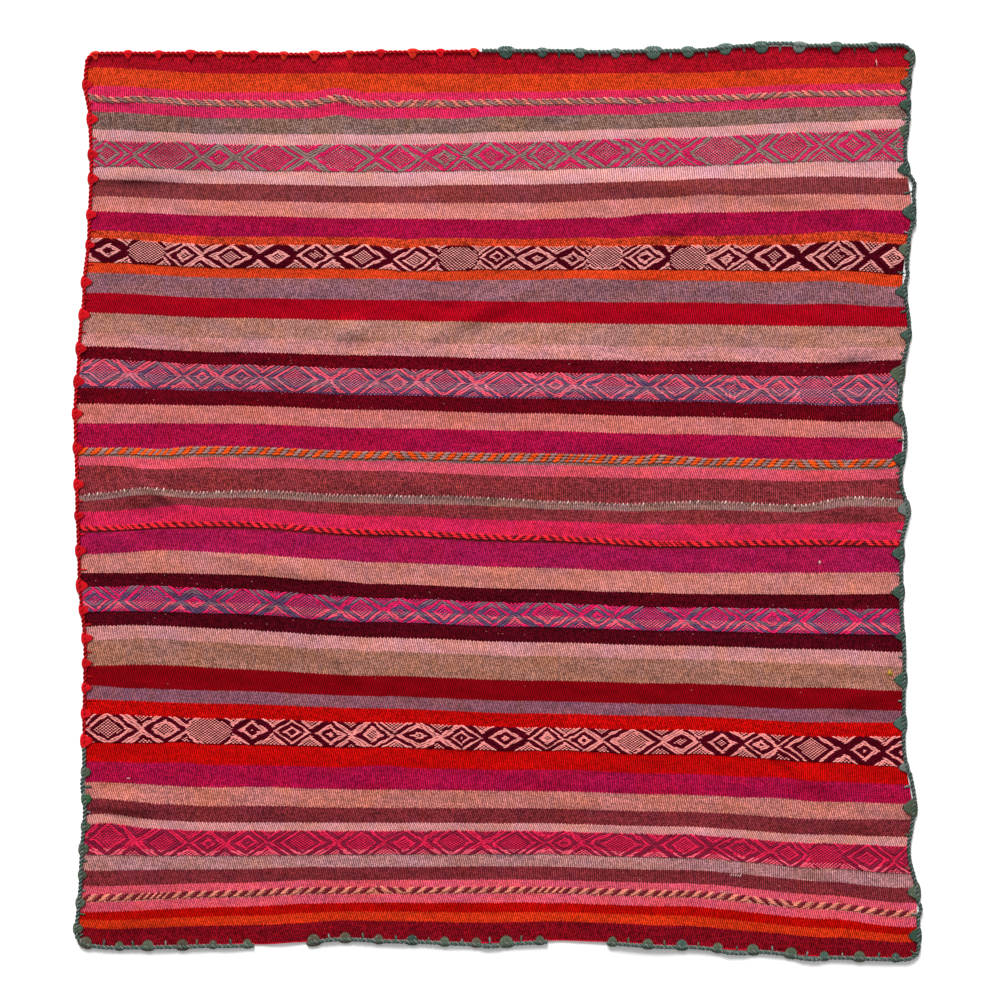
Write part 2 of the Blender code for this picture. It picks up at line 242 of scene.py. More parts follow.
class Lie:
    """How the blanket lies: its wavy edges, its folds and how far its stripes stray from straight lines."""

    TOP_LEVEL = 0.811
    SEAM_LEVEL = 0.006
    BOTTOM_LEVEL = -0.799

    # The edges that run along the stripes: x, y.
    TOP_EDGE = ((-0.736, 0.806), (-0.534, 0.806), (-0.354, 0.804), (-0.174, 0.808), (0.006, 0.810),
                (0.186, 0.808), (0.348, 0.810), (0.456, 0.819), (0.600, 0.819), (0.748, 0.820))
    SEAM = ((-0.754, 0.010), (-0.696, 0.009), (-0.624, 0.016), (-0.444, 0.016), (-0.264, 0.012),
            (-0.084, 0.009), (0.096, 0.003), (0.231, -0.004), (0.366, 0.001), (0.546, -0.006),
            (0.636, 0.009), (0.733, 0.005))
    BOTTOM_EDGE = ((-0.755, -0.794), (-0.696, -0.800), (-0.426, -0.796), (-0.354, -0.792), (-0.282, -0.785),
                   (-0.174, -0.789), (-0.030, -0.794), (0.114, -0.789), (0.186, -0.791), (0.321, -0.798),
                   (0.456, -0.807), (0.591, -0.818), (0.757, -0.821))
    # The edges that run across the stripes: y, x.
    LEFT_EDGE = ((-0.794, -0.755), (-0.663, -0.746), (-0.555, -0.739), (-0.411, -0.741), (-0.267, -0.739),
                 (-0.123, -0.750), (0.021, -0.754), (0.165, -0.757), (0.273, -0.750), (0.381, -0.741),
                 (0.489, -0.732), (0.597, -0.728), (0.687, -0.730), (0.750, -0.739), (0.806, -0.736))
    RIGHT_EDGE = ((-0.819, 0.757), (-0.708, 0.755), (-0.627, 0.739), (-0.558, 0.748), (-0.429, 0.730),
                  (-0.285, 0.731), (-0.177, 0.726), (-0.078, 0.726), (-0.018, 0.737), (0.039, 0.724),
                  (0.111, 0.730), (0.201, 0.722), (0.309, 0.740), (0.399, 0.730), (0.525, 0.746),
                  (0.633, 0.733), (0.741, 0.739), (0.820, 0.748))

    # The folds: name, x, y, direction in degrees, half length, half width, lift.
    FOLDS = (
        ("ridge at the left end of the seam", -0.638, 0.014, -22, 0.090, 0.034, 0.0080),
        ("crease at the lower left side", -0.660, -0.542, -3, 0.110, 0.032, 0.0070),
        ("ridge at the upper left side", -0.651, 0.594, -3, 0.120, 0.030, 0.0040),
        ("ridge by the top left corner", -0.669, 0.739, 0, 0.090, 0.028, 0.0035),
        ("long ridge through the upper right", 0.348, 0.565, -3, 0.350, 0.032, 0.0050),
        ("slanting wave under the long ridge", 0.307, 0.493, 21, 0.080, 0.030, 0.0050),
        ("slanting fold in the upper middle", -0.048, 0.331, 25, 0.160, 0.032, 0.0060),
        ("tail of the slanting fold", 0.222, 0.403, 5, 0.150, 0.030, 0.0040),
        ("bump left of the slanting fold", -0.260, 0.306, 10, 0.060, 0.030, 0.0050),
        ("slanting fold left of the middle", -0.390, -0.116, -11, 0.190, 0.032, 0.0050),
        ("steep little fold in the lower left", -0.286, -0.288, -52, 0.060, 0.030, 0.0040),
        ("slanting fold at the lower right", 0.568, -0.497, -32, 0.070, 0.030, 0.0050),
        ("pucker by the lower right corner", 0.568, -0.656, -15, 0.060, 0.030, 0.0050),
        ("ridge at the right above the seam", 0.636, 0.273, 8, 0.090, 0.030, 0.0040),
        ("ridge at the upper right side", 0.690, 0.673, 10, 0.060, 0.030, 0.0040),
        ("ridge at the lower right side", 0.654, -0.353, 3, 0.080, 0.030, 0.0040),
        ("swell above the seam", 0.186, 0.108, -2, 0.090, 0.030, 0.0030),
        ("swell below the seam", 0.285, -0.054, 2, 0.100, 0.030, 0.0030),
        ("swell in the pink stripes", 0.312, 0.219, -8, 0.080, 0.034, 0.0030),
        ("ridge at the right end of the seam", 0.636, -0.011, -5, 0.100, 0.032, 0.0040),
        ("ridge at the left under the seam", -0.687, -0.065, -15, 0.070, 0.030, 0.0050),
        ("soft upright wave in the lower right", 0.388, -0.591, 88, 0.150, 0.046, 0.0030),
        ("upright pucker in the top stripes", -0.273, 0.750, 80, 0.060, 0.040, 0.0050),
        ("ridge over the lower right corner", 0.632, -0.576, 0, 0.060, 0.028, 0.0030),
        ("ridge over the lower left corner", -0.660, -0.756, 0, 0.080, 0.028, 0.0030),
        ("lift along the seam", -0.102, 0.027, -3, 0.200, 0.032, 0.0040),
        ("lifted hem at the left gap", -0.386, -0.781, -2, 0.060, 0.040, 0.0035),
        ("lifted hem right of the middle", 0.258, -0.778, -4, 0.120, 0.044, 0.0040),
    )

    # How far some stripe edges stray up from their level, in millimetres, at seven places from left to right.
    STRAY_PLACES = (-0.728, -0.489, -0.219, 0.051, 0.321, 0.591, 0.735)
    STRAYS = (
        ("crimson meets orange", 0.775, (8, -3, -3, -4, -2, 7, 8)),
        ("hot pink meets taupe", 0.698, (4, -8, -9, -4, 3, 13, 15)),
        ("light pink meets the first band", 0.651, (-2, -8, -9, -4, 4, 14, 20)),
        ("light pink meets brown", 0.576, (5, -3, -7, -4, 2, 10, 7)),
        ("salmon meets magenta", 0.518, (7, -1, -6, -8, 4, 9, 9)),
        ("orange over the second band", 0.461, (12, 0, 0, -3, -1, 0, -1)),
        ("orange meets lavender", 0.400, (13, 4, 2, 0, -1, -5, -13)),
        ("maroon over the third band", 0.236, (20, 10, 3, -4, -8, -11, -4)),
        ("maroon meets salmon", 0.160, (16, 13, 5, -1, -7, -13, -16)),
        ("magenta over the braid", 0.088, (9, 12, 3, 0, -6, -12, -11)),
        ("coral meets brown", 0.050, (16, 14, 6, -4, -8, -13, -8)),
        ("brown meets hot pink", -0.027, (11, 18, 3, -5, -12, -11, -7)),
        ("hot pink over the red braid", -0.055, (12, 21, 6, -4, -15, -12, -14)),
        ("salmon meets maroon", -0.148, (24, 21, 4, -5, -14, -15, -13)),
        ("pink meets beige", -0.271, (21, 19, 5, -3, -9, -17, -23)),
        ("scarlet over the fifth band", -0.404, (22, 14, 7, -2, -7, -19, -18)),
        ("fifth band meets scarlet", -0.449, (17, 14, 8, 2, -5, -19, -27)),
        ("salmon meets brown", -0.553, (19, 6, 4, 3, -3, -16, -17)),
        ("grey meets brown", -0.664, (4, 5, 8, 9, 3, -18, -28)),
        ("coral meets red", -0.731, (-5, 4, 11, 11, 5, -17, -32)),
    )

    # Painted light and shade: where the cloth is painted lighter or darker for the light's fall over it, the
    # lit crests of its folds and the shade in its creases: name, x, y, direction, half length, half width,
    # share.
    PAINTED_LIGHTS = (
        ("darker upper left corner", -0.610, 0.640, 0, 0.250, 0.160, -0.13),
        ("darker left of the old fold", -0.520, 0.270, -20, 0.300, 0.130, -0.09),
        ("darker lower left", -0.450, -0.200, 0, 0.280, 0.130, -0.09),
        ("darker bottom left corner", -0.660, -0.740, 0, 0.170, 0.060, -0.10),
        ("lighter right of the old fold", -0.180, 0.450, 80, 0.260, 0.120, 0.08),
        ("lighter middle of the upper panel", 0.050, 0.270, 10, 0.230, 0.110, 0.10),
        ("lighter left end of the seam", -0.600, 0.075, 0, 0.200, 0.050, 0.08),
        ("lighter right side", 0.560, 0.220, 0, 0.200, 0.100, 0.06),
        ("lighter middle of the bottom", 0.060, -0.720, 0, 0.160, 0.060, 0.08),
        ("lighter lower right", 0.480, -0.280, 0, 0.300, 0.120, 0.05),
        ("lit crest of the long ridge", 0.400, 0.563, 1, 0.080, 0.013, 0.18),
        ("shade under the long ridge", 0.520, 0.540, -6, 0.080, 0.013, -0.20),
        ("lit fold by the upper right edge", 0.690, 0.700, 5, 0.050, 0.014, 0.20),
        ("lit patch of the old fold at the top", -0.270, 0.668, 0, 0.050, 0.014, 0.18),
        ("lit patch of the old fold below", -0.262, 0.330, 0, 0.040, 0.014, 0.20),
        ("crease under the light pink at the left", -0.650, 0.574, 1, 0.110, 0.010, -0.42),
        ("crease at the left end of the seam", -0.610, 0.008, -32, 0.080, 0.013, -0.40),
        ("lit fold over the seam's left end", -0.620, 0.058, 0, 0.080, 0.012, 0.22),
        ("crease at the lower left side", -0.680, -0.560, -6, 0.080, 0.012, -0.30),
        ("crease at the right over the third band", 0.610, 0.245, 12, 0.090, 0.011, -0.30),
        ("shade under the upper right fold", 0.610, 0.512, 6, 0.060, 0.012, -0.22),
        ("shade of the steep little fold", -0.280, -0.300, -55, 0.050, 0.011, -0.18),
        ("lit upright wave in the lower right", 0.366, -0.570, 88, 0.120, 0.014, 0.12),
        ("shade of the fold at the lower right", 0.520, -0.480, -36, 0.060, 0.013, -0.20),
    )

    # Small waves of the stripes: name, x, y, half length, half width, how far they ride up in millimetres.
    WAVES = (
        ("left end of the seam", -0.650, 0.002, 0.130, 0.036, 10.0),
        ("pink stripe under the seam", -0.610, -0.040, 0.110, 0.030, 5.0),
        ("seam further along", -0.420, 0.012, 0.160, 0.030, 4.0),
        ("foot of the coral stripe at the left", -0.610, 0.058, 0.110, 0.022, -8.0),
        ("foot of the coral stripe further along", -0.460, 0.056, 0.120, 0.020, -4.5),
        ("head of the salmon stripe at the left", -0.610, -0.092, 0.150, 0.038, 7.0),
        ("foot of the fourth band at the left", -0.620, -0.178, 0.130, 0.022, 4.0),
        ("stripes over the lower left side", -0.640, -0.270, 0.200, 0.085, 7.0),
        ("light stripe at the lower left side", -0.720, -0.350, 0.060, 0.040, 4.0),
        ("rise of the top stripes", -0.288, 0.728, 0.056, 0.058, 9.0),
        ("first braid at the left end", -0.690, 0.724, 0.060, 0.014, -6.0),
        ("dip in the upper middle", -0.170, 0.447, 0.070, 0.056, -7.0),
        ("stripes right of the middle", 0.215, 0.500, 0.060, 0.048, -5.0),
        ("rise at the upper right side", 0.640, 0.470, 0.130, 0.080, 7.5),
        ("first light pink at the right", 0.380, 0.555, 0.090, 0.060, 4.5),
        ("lower left side", -0.700, -0.590, 0.080, 0.060, 7.0),
        ("whole foot of the lower panel", 0.000, -0.690, 1.300, 0.100, 3.4),
        ("foot at the right", 0.500, -0.670, 0.180, 0.080, 2.4),
        ("foot left of the middle", -0.360, -0.700, 0.110, 0.080, 2.4),
        ("stripes under the last maroon band", 0.450, -0.440, 0.250, 0.060, 2.5),
        ("light stripe left of the middle", -0.420, -0.540, 0.140, 0.050, 2.5),
        ("first braid over its own rise", -0.282, 0.698, 0.040, 0.035, 3.0),
        ("first braid left of the middle", -0.070, 0.700, 0.060, 0.050, -2.5),
        ("top stripes right of the middle", 0.250, 0.700, 0.070, 0.060, -3.5),
        ("first band near the left", -0.570, 0.640, 0.050, 0.040, 3.0),
        ("first band further along", -0.390, 0.640, 0.070, 0.040, -3.0),
        ("lavender stripe in the middle", -0.100, 0.410, 0.080, 0.040, -4.0),
        ("lavender stripe right of the middle", 0.150, 0.390, 0.110, 0.040, 3.0),
        ("lavender stripe at the right", 0.600, 0.385, 0.120, 0.045, 4.0),
        ("third band at the right", 0.438, 0.208, 0.050, 0.040, -4.0),
        ("salmon stripe at the right", 0.620, 0.175, 0.090, 0.050, -3.5),
        ("second braid at the left", -0.606, 0.088, 0.060, 0.026, -3.5),
        ("second braid right of the middle", 0.294, 0.088, 0.045, 0.030, 3.5),
        ("second braid further along", 0.385, 0.100, 0.050, 0.040, -3.0),
        ("seam at the very left", -0.714, 0.025, 0.050, 0.028, 5.0),
        ("seam left of the middle", -0.100, 0.018, 0.070, 0.030, 2.5),
        ("seam right of the middle", 0.110, -0.002, 0.080, 0.030, -3.0),
        ("third braid at the left", -0.565, -0.036, 0.060, 0.028, 6.0),
        ("salmon stripe under the third braid", -0.580, -0.125, 0.150, 0.045, 4.0),
        ("salmon stripe left of the middle", -0.282, -0.140, 0.060, 0.060, 4.0),
        ("salmon stripe right of the middle", 0.270, -0.130, 0.090, 0.050, 3.0),
        ("sand stripe at the left", -0.580, -0.310, 0.160, 0.060, 4.0),
        ("sand stripe left of the middle", -0.282, -0.281, 0.060, 0.040, 4.0),
        ("dark red stripe at the right", 0.600, -0.340, 0.110, 0.050, 3.0),
        ("scarlet stripe at the left", -0.570, -0.465, 0.060, 0.050, 5.0),
        ("scarlet stripe left of the middle", -0.210, -0.480, 0.070, 0.050, 4.0),
        ("scarlet stripe right of the middle", 0.150, -0.465, 0.120, 0.050, 2.5),
        ("magenta stripe at the right", 0.510, -0.505, 0.080, 0.060, 5.0),
    )

    # What a swell, 2 high at its middle, is multiplied by for a fold's lift, a patch of painted light and
    # shade and a wave's rise.
    LIFT_SHARE = 0.57
    PAINTED_LIGHT_SHARE = 0.7
    WAVE_SHARE = 0.0005
    # About where the left side lies, and how far in from the outer edges the waves fade.
    LEFT_ABOUT = -0.745
    FADE = 0.03
    # The ripples: how many there are, their shortest and longest length, and their middle height.
    RIPPLES = 14
    RIPPLE_LENGTHS = (0.034, 0.110)
    RIPPLE_HEIGHT = 0.0009

    @staticmethod
    def along(table: Table, where: np.ndarray) -> np.ndarray:
        """Reads a two-column table, easing smoothly from one row to the next.

        Args:
            table: rows of a place and its value, with rising places.
            where: the places to read.

        Returns:
            The values at the places.
        """
        places = np.array([row[0] for row in table])
        values = np.array([row[1] for row in table])
        where = np.clip(where, places[0], places[-1])
        index = np.clip(np.searchsorted(places, where, side="right") - 1, 0, len(places) - 2)
        share = (where - places[index]) / (places[index + 1] - places[index])
        share = share * share * (3.0 - 2.0 * share)
        return values[index] + (values[index + 1] - values[index]) * share

    @staticmethod
    def swell(x: np.ndarray, y: np.ndarray, middle_x: float, middle_y: float, direction: float,
              half_length: float, half_width: float) -> np.ndarray:
        """A round-topped swell over a long oval patch of the cloth.

        Args:
            x: the places to read, along the stripes.
            y: the places to read, across them.
            middle_x: the patch's middle, along the stripes.
            middle_y: the patch's middle, across them.
            direction: the way its length runs, in degrees.
            half_length: half of its length.
            half_width: half of its width.

        Returns:
            The swell at each place, 2 at the middle and 0 past the patch's rim.
        """
        turn = math.radians(direction)
        forward = (x - middle_x) * math.cos(turn) + (y - middle_y) * math.sin(turn)
        across = (y - middle_y) * math.cos(turn) - (x - middle_x) * math.sin(turn)
        reach = np.minimum(np.hypot(forward / half_length, across / half_width), 1.0)
        return 1.0 + np.cos(math.pi * reach)

    @classmethod
    def pile(cls, patches: tuple, share: float, x: np.ndarray, y: np.ndarray, start: float) -> np.ndarray:
        """Adds up the swells of a table.

        Args:
            patches: the table, whose last column says how strong each swell is.
            share: what that column is multiplied by.
            x: the places to read, along the stripes.
            y: the places to read, across them.
            start: what the swells are added to.

        Returns:
            The sum at each place.
        """
        total = np.full(np.broadcast(x, y).shape, start)
        for _name, *patch, strength in patches:
            total += strength * share * cls.swell(x, y, *patch)
        return total

    @classmethod
    def lift(cls, x: np.ndarray, y: np.ndarray) -> np.ndarray:
        """Height of the cloth's underside over the floor, from the folds that it lies in."""
        return cls.pile(cls.FOLDS, cls.LIFT_SHARE, x, y, 0.0)

    @classmethod
    def tone(cls, x: np.ndarray, y: np.ndarray) -> np.ndarray:
        """How much lighter or darker the cloth is painted than elsewhere, as painted light and shade, as a
        factor about 1.
        """
        return cls.pile(cls.PAINTED_LIGHTS, cls.PAINTED_LIGHT_SHARE, x, y, 1.0)

    @classmethod
    def ripple(cls, x: np.ndarray, y: np.ndarray) -> np.ndarray:
        """The small unevenness of cloth that was never pressed.

        Args:
            x: the places to read, along the stripes.
            y: the places to read, across them.

        Returns:
            Its height at each place, from 0 to under two millimetres.
        """
        dice = random.Random(5)
        total = np.zeros(np.broadcast(x, y).shape)
        for _wave in range(cls.RIPPLES):
            turn = math.radians(dice.gauss(90.0, 17.0))
            tight = 2.0 * math.pi / dice.uniform(*cls.RIPPLE_LENGTHS)
            phase = dice.uniform(0.0, 2.0 * math.pi)
            bend = np.sin(x * dice.uniform(4.0, 12.0) + dice.uniform(0.0, 6.0)) * 1.3
            total += np.sin((x * math.cos(turn) + y * math.sin(turn)) * tight + phase + bend)
        return cls.RIPPLE_HEIGHT * (1.0 + np.tanh(total / 3.0))

    @classmethod
    def stray(cls, x: np.ndarray, level: np.ndarray) -> np.ndarray:
        """How far the cloth at a level strays up from it.

        Args:
            x: the places along the stripes.
            level: the levels of the cloth there, across the stripes.

        Returns:
            The distance that each point lies above its own level.
        """
        seam = cls.along(cls.SEAM, x) - cls.SEAM_LEVEL
        rows = [(cls.TOP_LEVEL, cls.along(cls.TOP_EDGE, x) - cls.TOP_LEVEL)]
        for _name, at, strays in cls.STRAYS:
            table = [(place, value * MILLIMETRE) for place, value in zip(cls.STRAY_PLACES, strays)]
            if at < cls.SEAM_LEVEL and rows[-1][0] > cls.SEAM_LEVEL:
                rows.append((cls.SEAM_LEVEL, seam))
            rows.append((at, cls.along(table, x)))
        rows.append((cls.BOTTOM_LEVEL, cls.along(cls.BOTTOM_EDGE, x) - cls.BOTTOM_LEVEL))
        total = np.zeros(np.broadcast(x, level).shape)
        for (high, above), (low, below) in zip(rows, rows[1:]):
            inside = (level <= high) & (level > low)
            share = (high - level) / (high - low)
            total = np.where(inside, above + (below - above) * share, total)
        total = np.where(level <= cls.BOTTOM_LEVEL, rows[-1][1], total)
        from_top, from_bottom = cls.TOP_LEVEL - level, level - cls.BOTTOM_LEVEL
        inner = np.clip(from_top / cls.FADE, 0.0, 1.0) * np.clip(from_bottom / cls.FADE, 0.0, 1.0)
        for _name, wave_x, wave_y, half_length, half_width, rise in cls.WAVES:
            swell = cls.swell(x, level, wave_x, wave_y, 0.0, half_length, half_width)
            total = total + rise * cls.WAVE_SHARE * swell * inner
        return total

    @classmethod
    def place(cls, share: np.ndarray, level: np.ndarray) -> tuple[np.ndarray, np.ndarray]:
        """Where a point of the cloth lies.

        Args:
            share: how far along the stripes it is, from 0 at the left to 1 at the right.
            level: its level across the stripes on straightened cloth.

        Returns:
            Its x and y.
        """
        x = cls.LEFT_ABOUT + LENGTH * share
        for _round in range(2):
            y = level + cls.stray(x, level)
            x = cls.along(cls.LEFT_EDGE, y) * (1.0 - share) + cls.along(cls.RIGHT_EDGE, y) * share
        return x, level + cls.stray(x, level)

    @classmethod
    def find(cls, x: float, y: float) -> tuple[float, float]:
        """Finds the point of the cloth that lies at a place.

        Args:
            x: the place along the stripes.
            y: the place across them.

        Returns:
            The point's distance along the stripes and its level.
        """
        left, right = (float(cls.along(edge, np.array(y))) for edge in (cls.LEFT_EDGE, cls.RIGHT_EDGE))
        level = y
        for _round in range(4):
            level = y - float(cls.stray(np.array(x), np.array(level)))
        return (x - left) / (right - left) * LENGTH, level

    @classmethod
    def top(cls, share: np.ndarray, level: np.ndarray) -> np.ndarray:
        """Points on the cloth's upper face, as rows of x, y and z."""
        x, y = cls.place(share, level)
        z = cls.lift(x, y) + cls.ripple(x, y) + CLOTH
        return np.stack([x, y, z], axis=-1)


class Number:
    """A number in a node tree: a sum with it adds the node that works it out."""

    def __init__(self, board: "Board", socket: bpy.types.NodeSocket) -> None:
        """Keeps the tree's board and the socket that gives the number."""
        self.board = board
        self.socket = socket

    def __add__(self, other: object) -> "Number":
        """This number and another."""
        return self.board.math("ADD", self, other)

    def __sub__(self, other: object) -> "Number":
        """This number less another."""
        return self.board.math("SUBTRACT", self, other)

    def __rsub__(self, other: object) -> "Number":
        """Another number less this one."""
        return self.board.math("SUBTRACT", other, self)

    def __mul__(self, other: object) -> "Number":
        """This number times another."""
        return self.board.math("MULTIPLY", self, other)

    def __truediv__(self, other: object) -> "Number":
        """This number divided by another."""
        return self.board.math("DIVIDE", self, other)

    def swing(self, reach: object) -> "Number":
        """Takes a grey value about its middle and gives a factor around 1."""
        return (self - 0.5) * reach + 1.0


class Board:
    """A node tree under construction, with short ways to add and join nodes."""

    def __init__(self, tree: bpy.types.NodeTree) -> None:
        """Keeps the tree and empties it."""
        self.tree = tree
        self.tree.nodes.clear()

    @classmethod
    def group(cls, name: str, inputs: dict[str, str], output: str) -> "Board":
        """Starts a Geometry Nodes tree.

        Args:
            name: the tree's name.
            inputs: the kind of each of its inputs, by the input's name.
            output: the name of the shape that it gives.

        Returns:
            The board of the new tree.
        """
        tree = bpy.data.node_groups.new(name, "GeometryNodeTree")
        for title, kind in inputs.items():
            tree.interface.new_socket(title, in_out="INPUT", socket_type="NodeSocket" + kind)
        tree.interface.new_socket(output, in_out="OUTPUT", socket_type="NodeSocketGeometry")
        return cls(tree)

    def node(self, kind: str, given: dict | None = None, **settings: object) -> bpy.types.Node:
        """Adds a node.

        Args:
            kind: Blender's name for the kind of node.
            given: what goes into its inputs, by their names or numbers.
            settings: its properties.

        Returns:
            The node.
        """
        made = self.tree.nodes.new(kind)
        for name, value in settings.items():
            setattr(made, name, value)
        for name, value in (given or {}).items():
            self.put(made.inputs[name], value)
        return made

    def put(self, socket: bpy.types.NodeSocket, value: object) -> None:
        """Joins another socket to an input, or sets the input's own value.

        Args:
            socket: the input.
            value: a number of the tree, a socket, a plain value, or None to leave the input as it is.
        """
        if isinstance(value, Number):
            value = value.socket
        if isinstance(value, bpy.types.NodeSocket):
            self.tree.links.new(value, socket)
        elif value is not None:
            socket.default_value = value

    def math(self, operation: str, first: object, second: object = None, third: object = None) -> Number:
        """Adds a sum of numbers and returns its result."""
        made = self.node("ShaderNodeMath", {0: first, 1: second, 2: third}, operation=operation)
        return Number(self, made.outputs[0])

    def vector(self, operation: str, first: object, second: object = None,
               scale: object = None) -> bpy.types.NodeSocket:
        """Adds a sum of vectors or colours and returns its result."""
        made = self.node("ShaderNodeVectorMath", {0: first, 1: second, 3: scale}, operation=operation)
        return made.outputs[0]

    def noise(self, vector: object, scale: float, detail: float = 2.0, rough: float = 0.5) -> Number:
        """Adds a noise pattern at the places of a vector and returns its grey value."""
        sizes = {"Vector": vector, "Scale": scale, "Detail": detail, "Roughness": rough}
        return Number(self, self.node("ShaderNodeTexNoise", sizes).outputs[0])

    def mix(self, share: object, first: object, second: object, blend: str = "MIX") -> bpy.types.NodeSocket:
        """Adds a mix of two colours and returns it."""
        given = {0: share, 6: first, 7: second}
        return self.node("ShaderNodeMix", given, data_type="RGBA", blend_type=blend).outputs[2]

    def combine(self, x: object, y: object, z: object = 0.0) -> bpy.types.NodeSocket:
        """Adds a vector made of three numbers."""
        return self.node("ShaderNodeCombineXYZ", {0: x, 1: y, 2: z}).outputs[0]

    def attribute(self, name: str) -> Number:
        """Reads a number that the mesh carries at each of its points."""
        return Number(self, self.node("ShaderNodeAttribute", attribute_name=name).outputs["Fac"])

    def steps(self, where: object, stops: Sequence[tuple[float, Shade]]) -> bpy.types.Node:
        """Adds a colour ramp that changes at once from each colour to the next.

        Args:
            where: the place on the ramp, from 0 to 1.
            stops: where each colour starts, with the colour, in order from 0.

        Returns:
            The ramp's node.
        """
        made = self.node("ShaderNodeValToRGB", {0: where})
        ramp = made.color_ramp
        ramp.interpolation = "CONSTANT"
        ramp.elements.remove(ramp.elements[1])
        ramp.elements[0].color = stops[0][1]
        for start, colour in stops[1:]:
            ramp.elements.new(start).color = colour
        return made

    def surface(self, colour: object, roughness: float, shine: float, grain: object = None,
                strength: float = 0.0, depth: float = 0.0) -> None:
        """Ends a material with a matt surface.

        Args:
            colour: its colour.
            roughness: its roughness.
            shine: how strongly it reflects.
            grain: the height of its grain, if it has one.
            strength: how strongly the grain shows.
            depth: how deep the grain is.
        """
        shader = self.node("ShaderNodeBsdfPrincipled",
                           {"Base Color": colour, "Roughness": roughness, "Specular IOR Level": shine})
        if grain is not None:
            bump = self.node("ShaderNodeBump", {"Strength": strength, "Distance": depth, "Height": grain})
            self.put(shader.inputs["Normal"], bump.outputs[0])
        self.node("ShaderNodeOutputMaterial", {0: shader.outputs[0]})

    def hand_out(self, shape: object, finish: object) -> None:
        """Ends a Geometry Nodes tree with real shapes of one material."""
        real = self.node("GeometryNodeRealizeInstances", {0: shape})
        dressed = self.node("GeometryNodeSetMaterial", {"Geometry": real.outputs[0], "Material": finish})
        self.node("NodeGroupOutput", {0: dressed.outputs[0]})


def rgba(colour: Colour) -> Shade:
    """A colour with full alpha."""
    return tuple(colour) + (1.0,)


def start_material(name: str) -> tuple[bpy.types.Material, Board]:
    """Starts a material with an empty tree, and returns it with the tree's board."""
    made = bpy.data.materials.new(name)
    made.use_nodes = True
    return made, Board(made.node_tree)


@dataclass(frozen=True)
class WeaveMap:
    """A panel's own map in a node tree, in metres along the stripes and across them."""

    board: Board
    place: bpy.types.NodeSocket
    along: Number
    across: Number

    @classmethod
    def read(cls, board: Board) -> "WeaveMap":
        """Adds the nodes that read the map."""
        place = board.node("ShaderNodeUVMap", uv_map="weave").outputs[0]
        split = board.node("ShaderNodeSeparateXYZ", {0: place})
        return cls(board, place, Number(board, split.outputs[0]), Number(board, split.outputs[1]))

    def streaks(self, per_along: float, per_across: float) -> Number:
        """A noise with so many spots to a metre along the stripes and across them."""
        return self.board.noise(self.board.combine(self.along * per_along, self.across * per_across), 1.0)


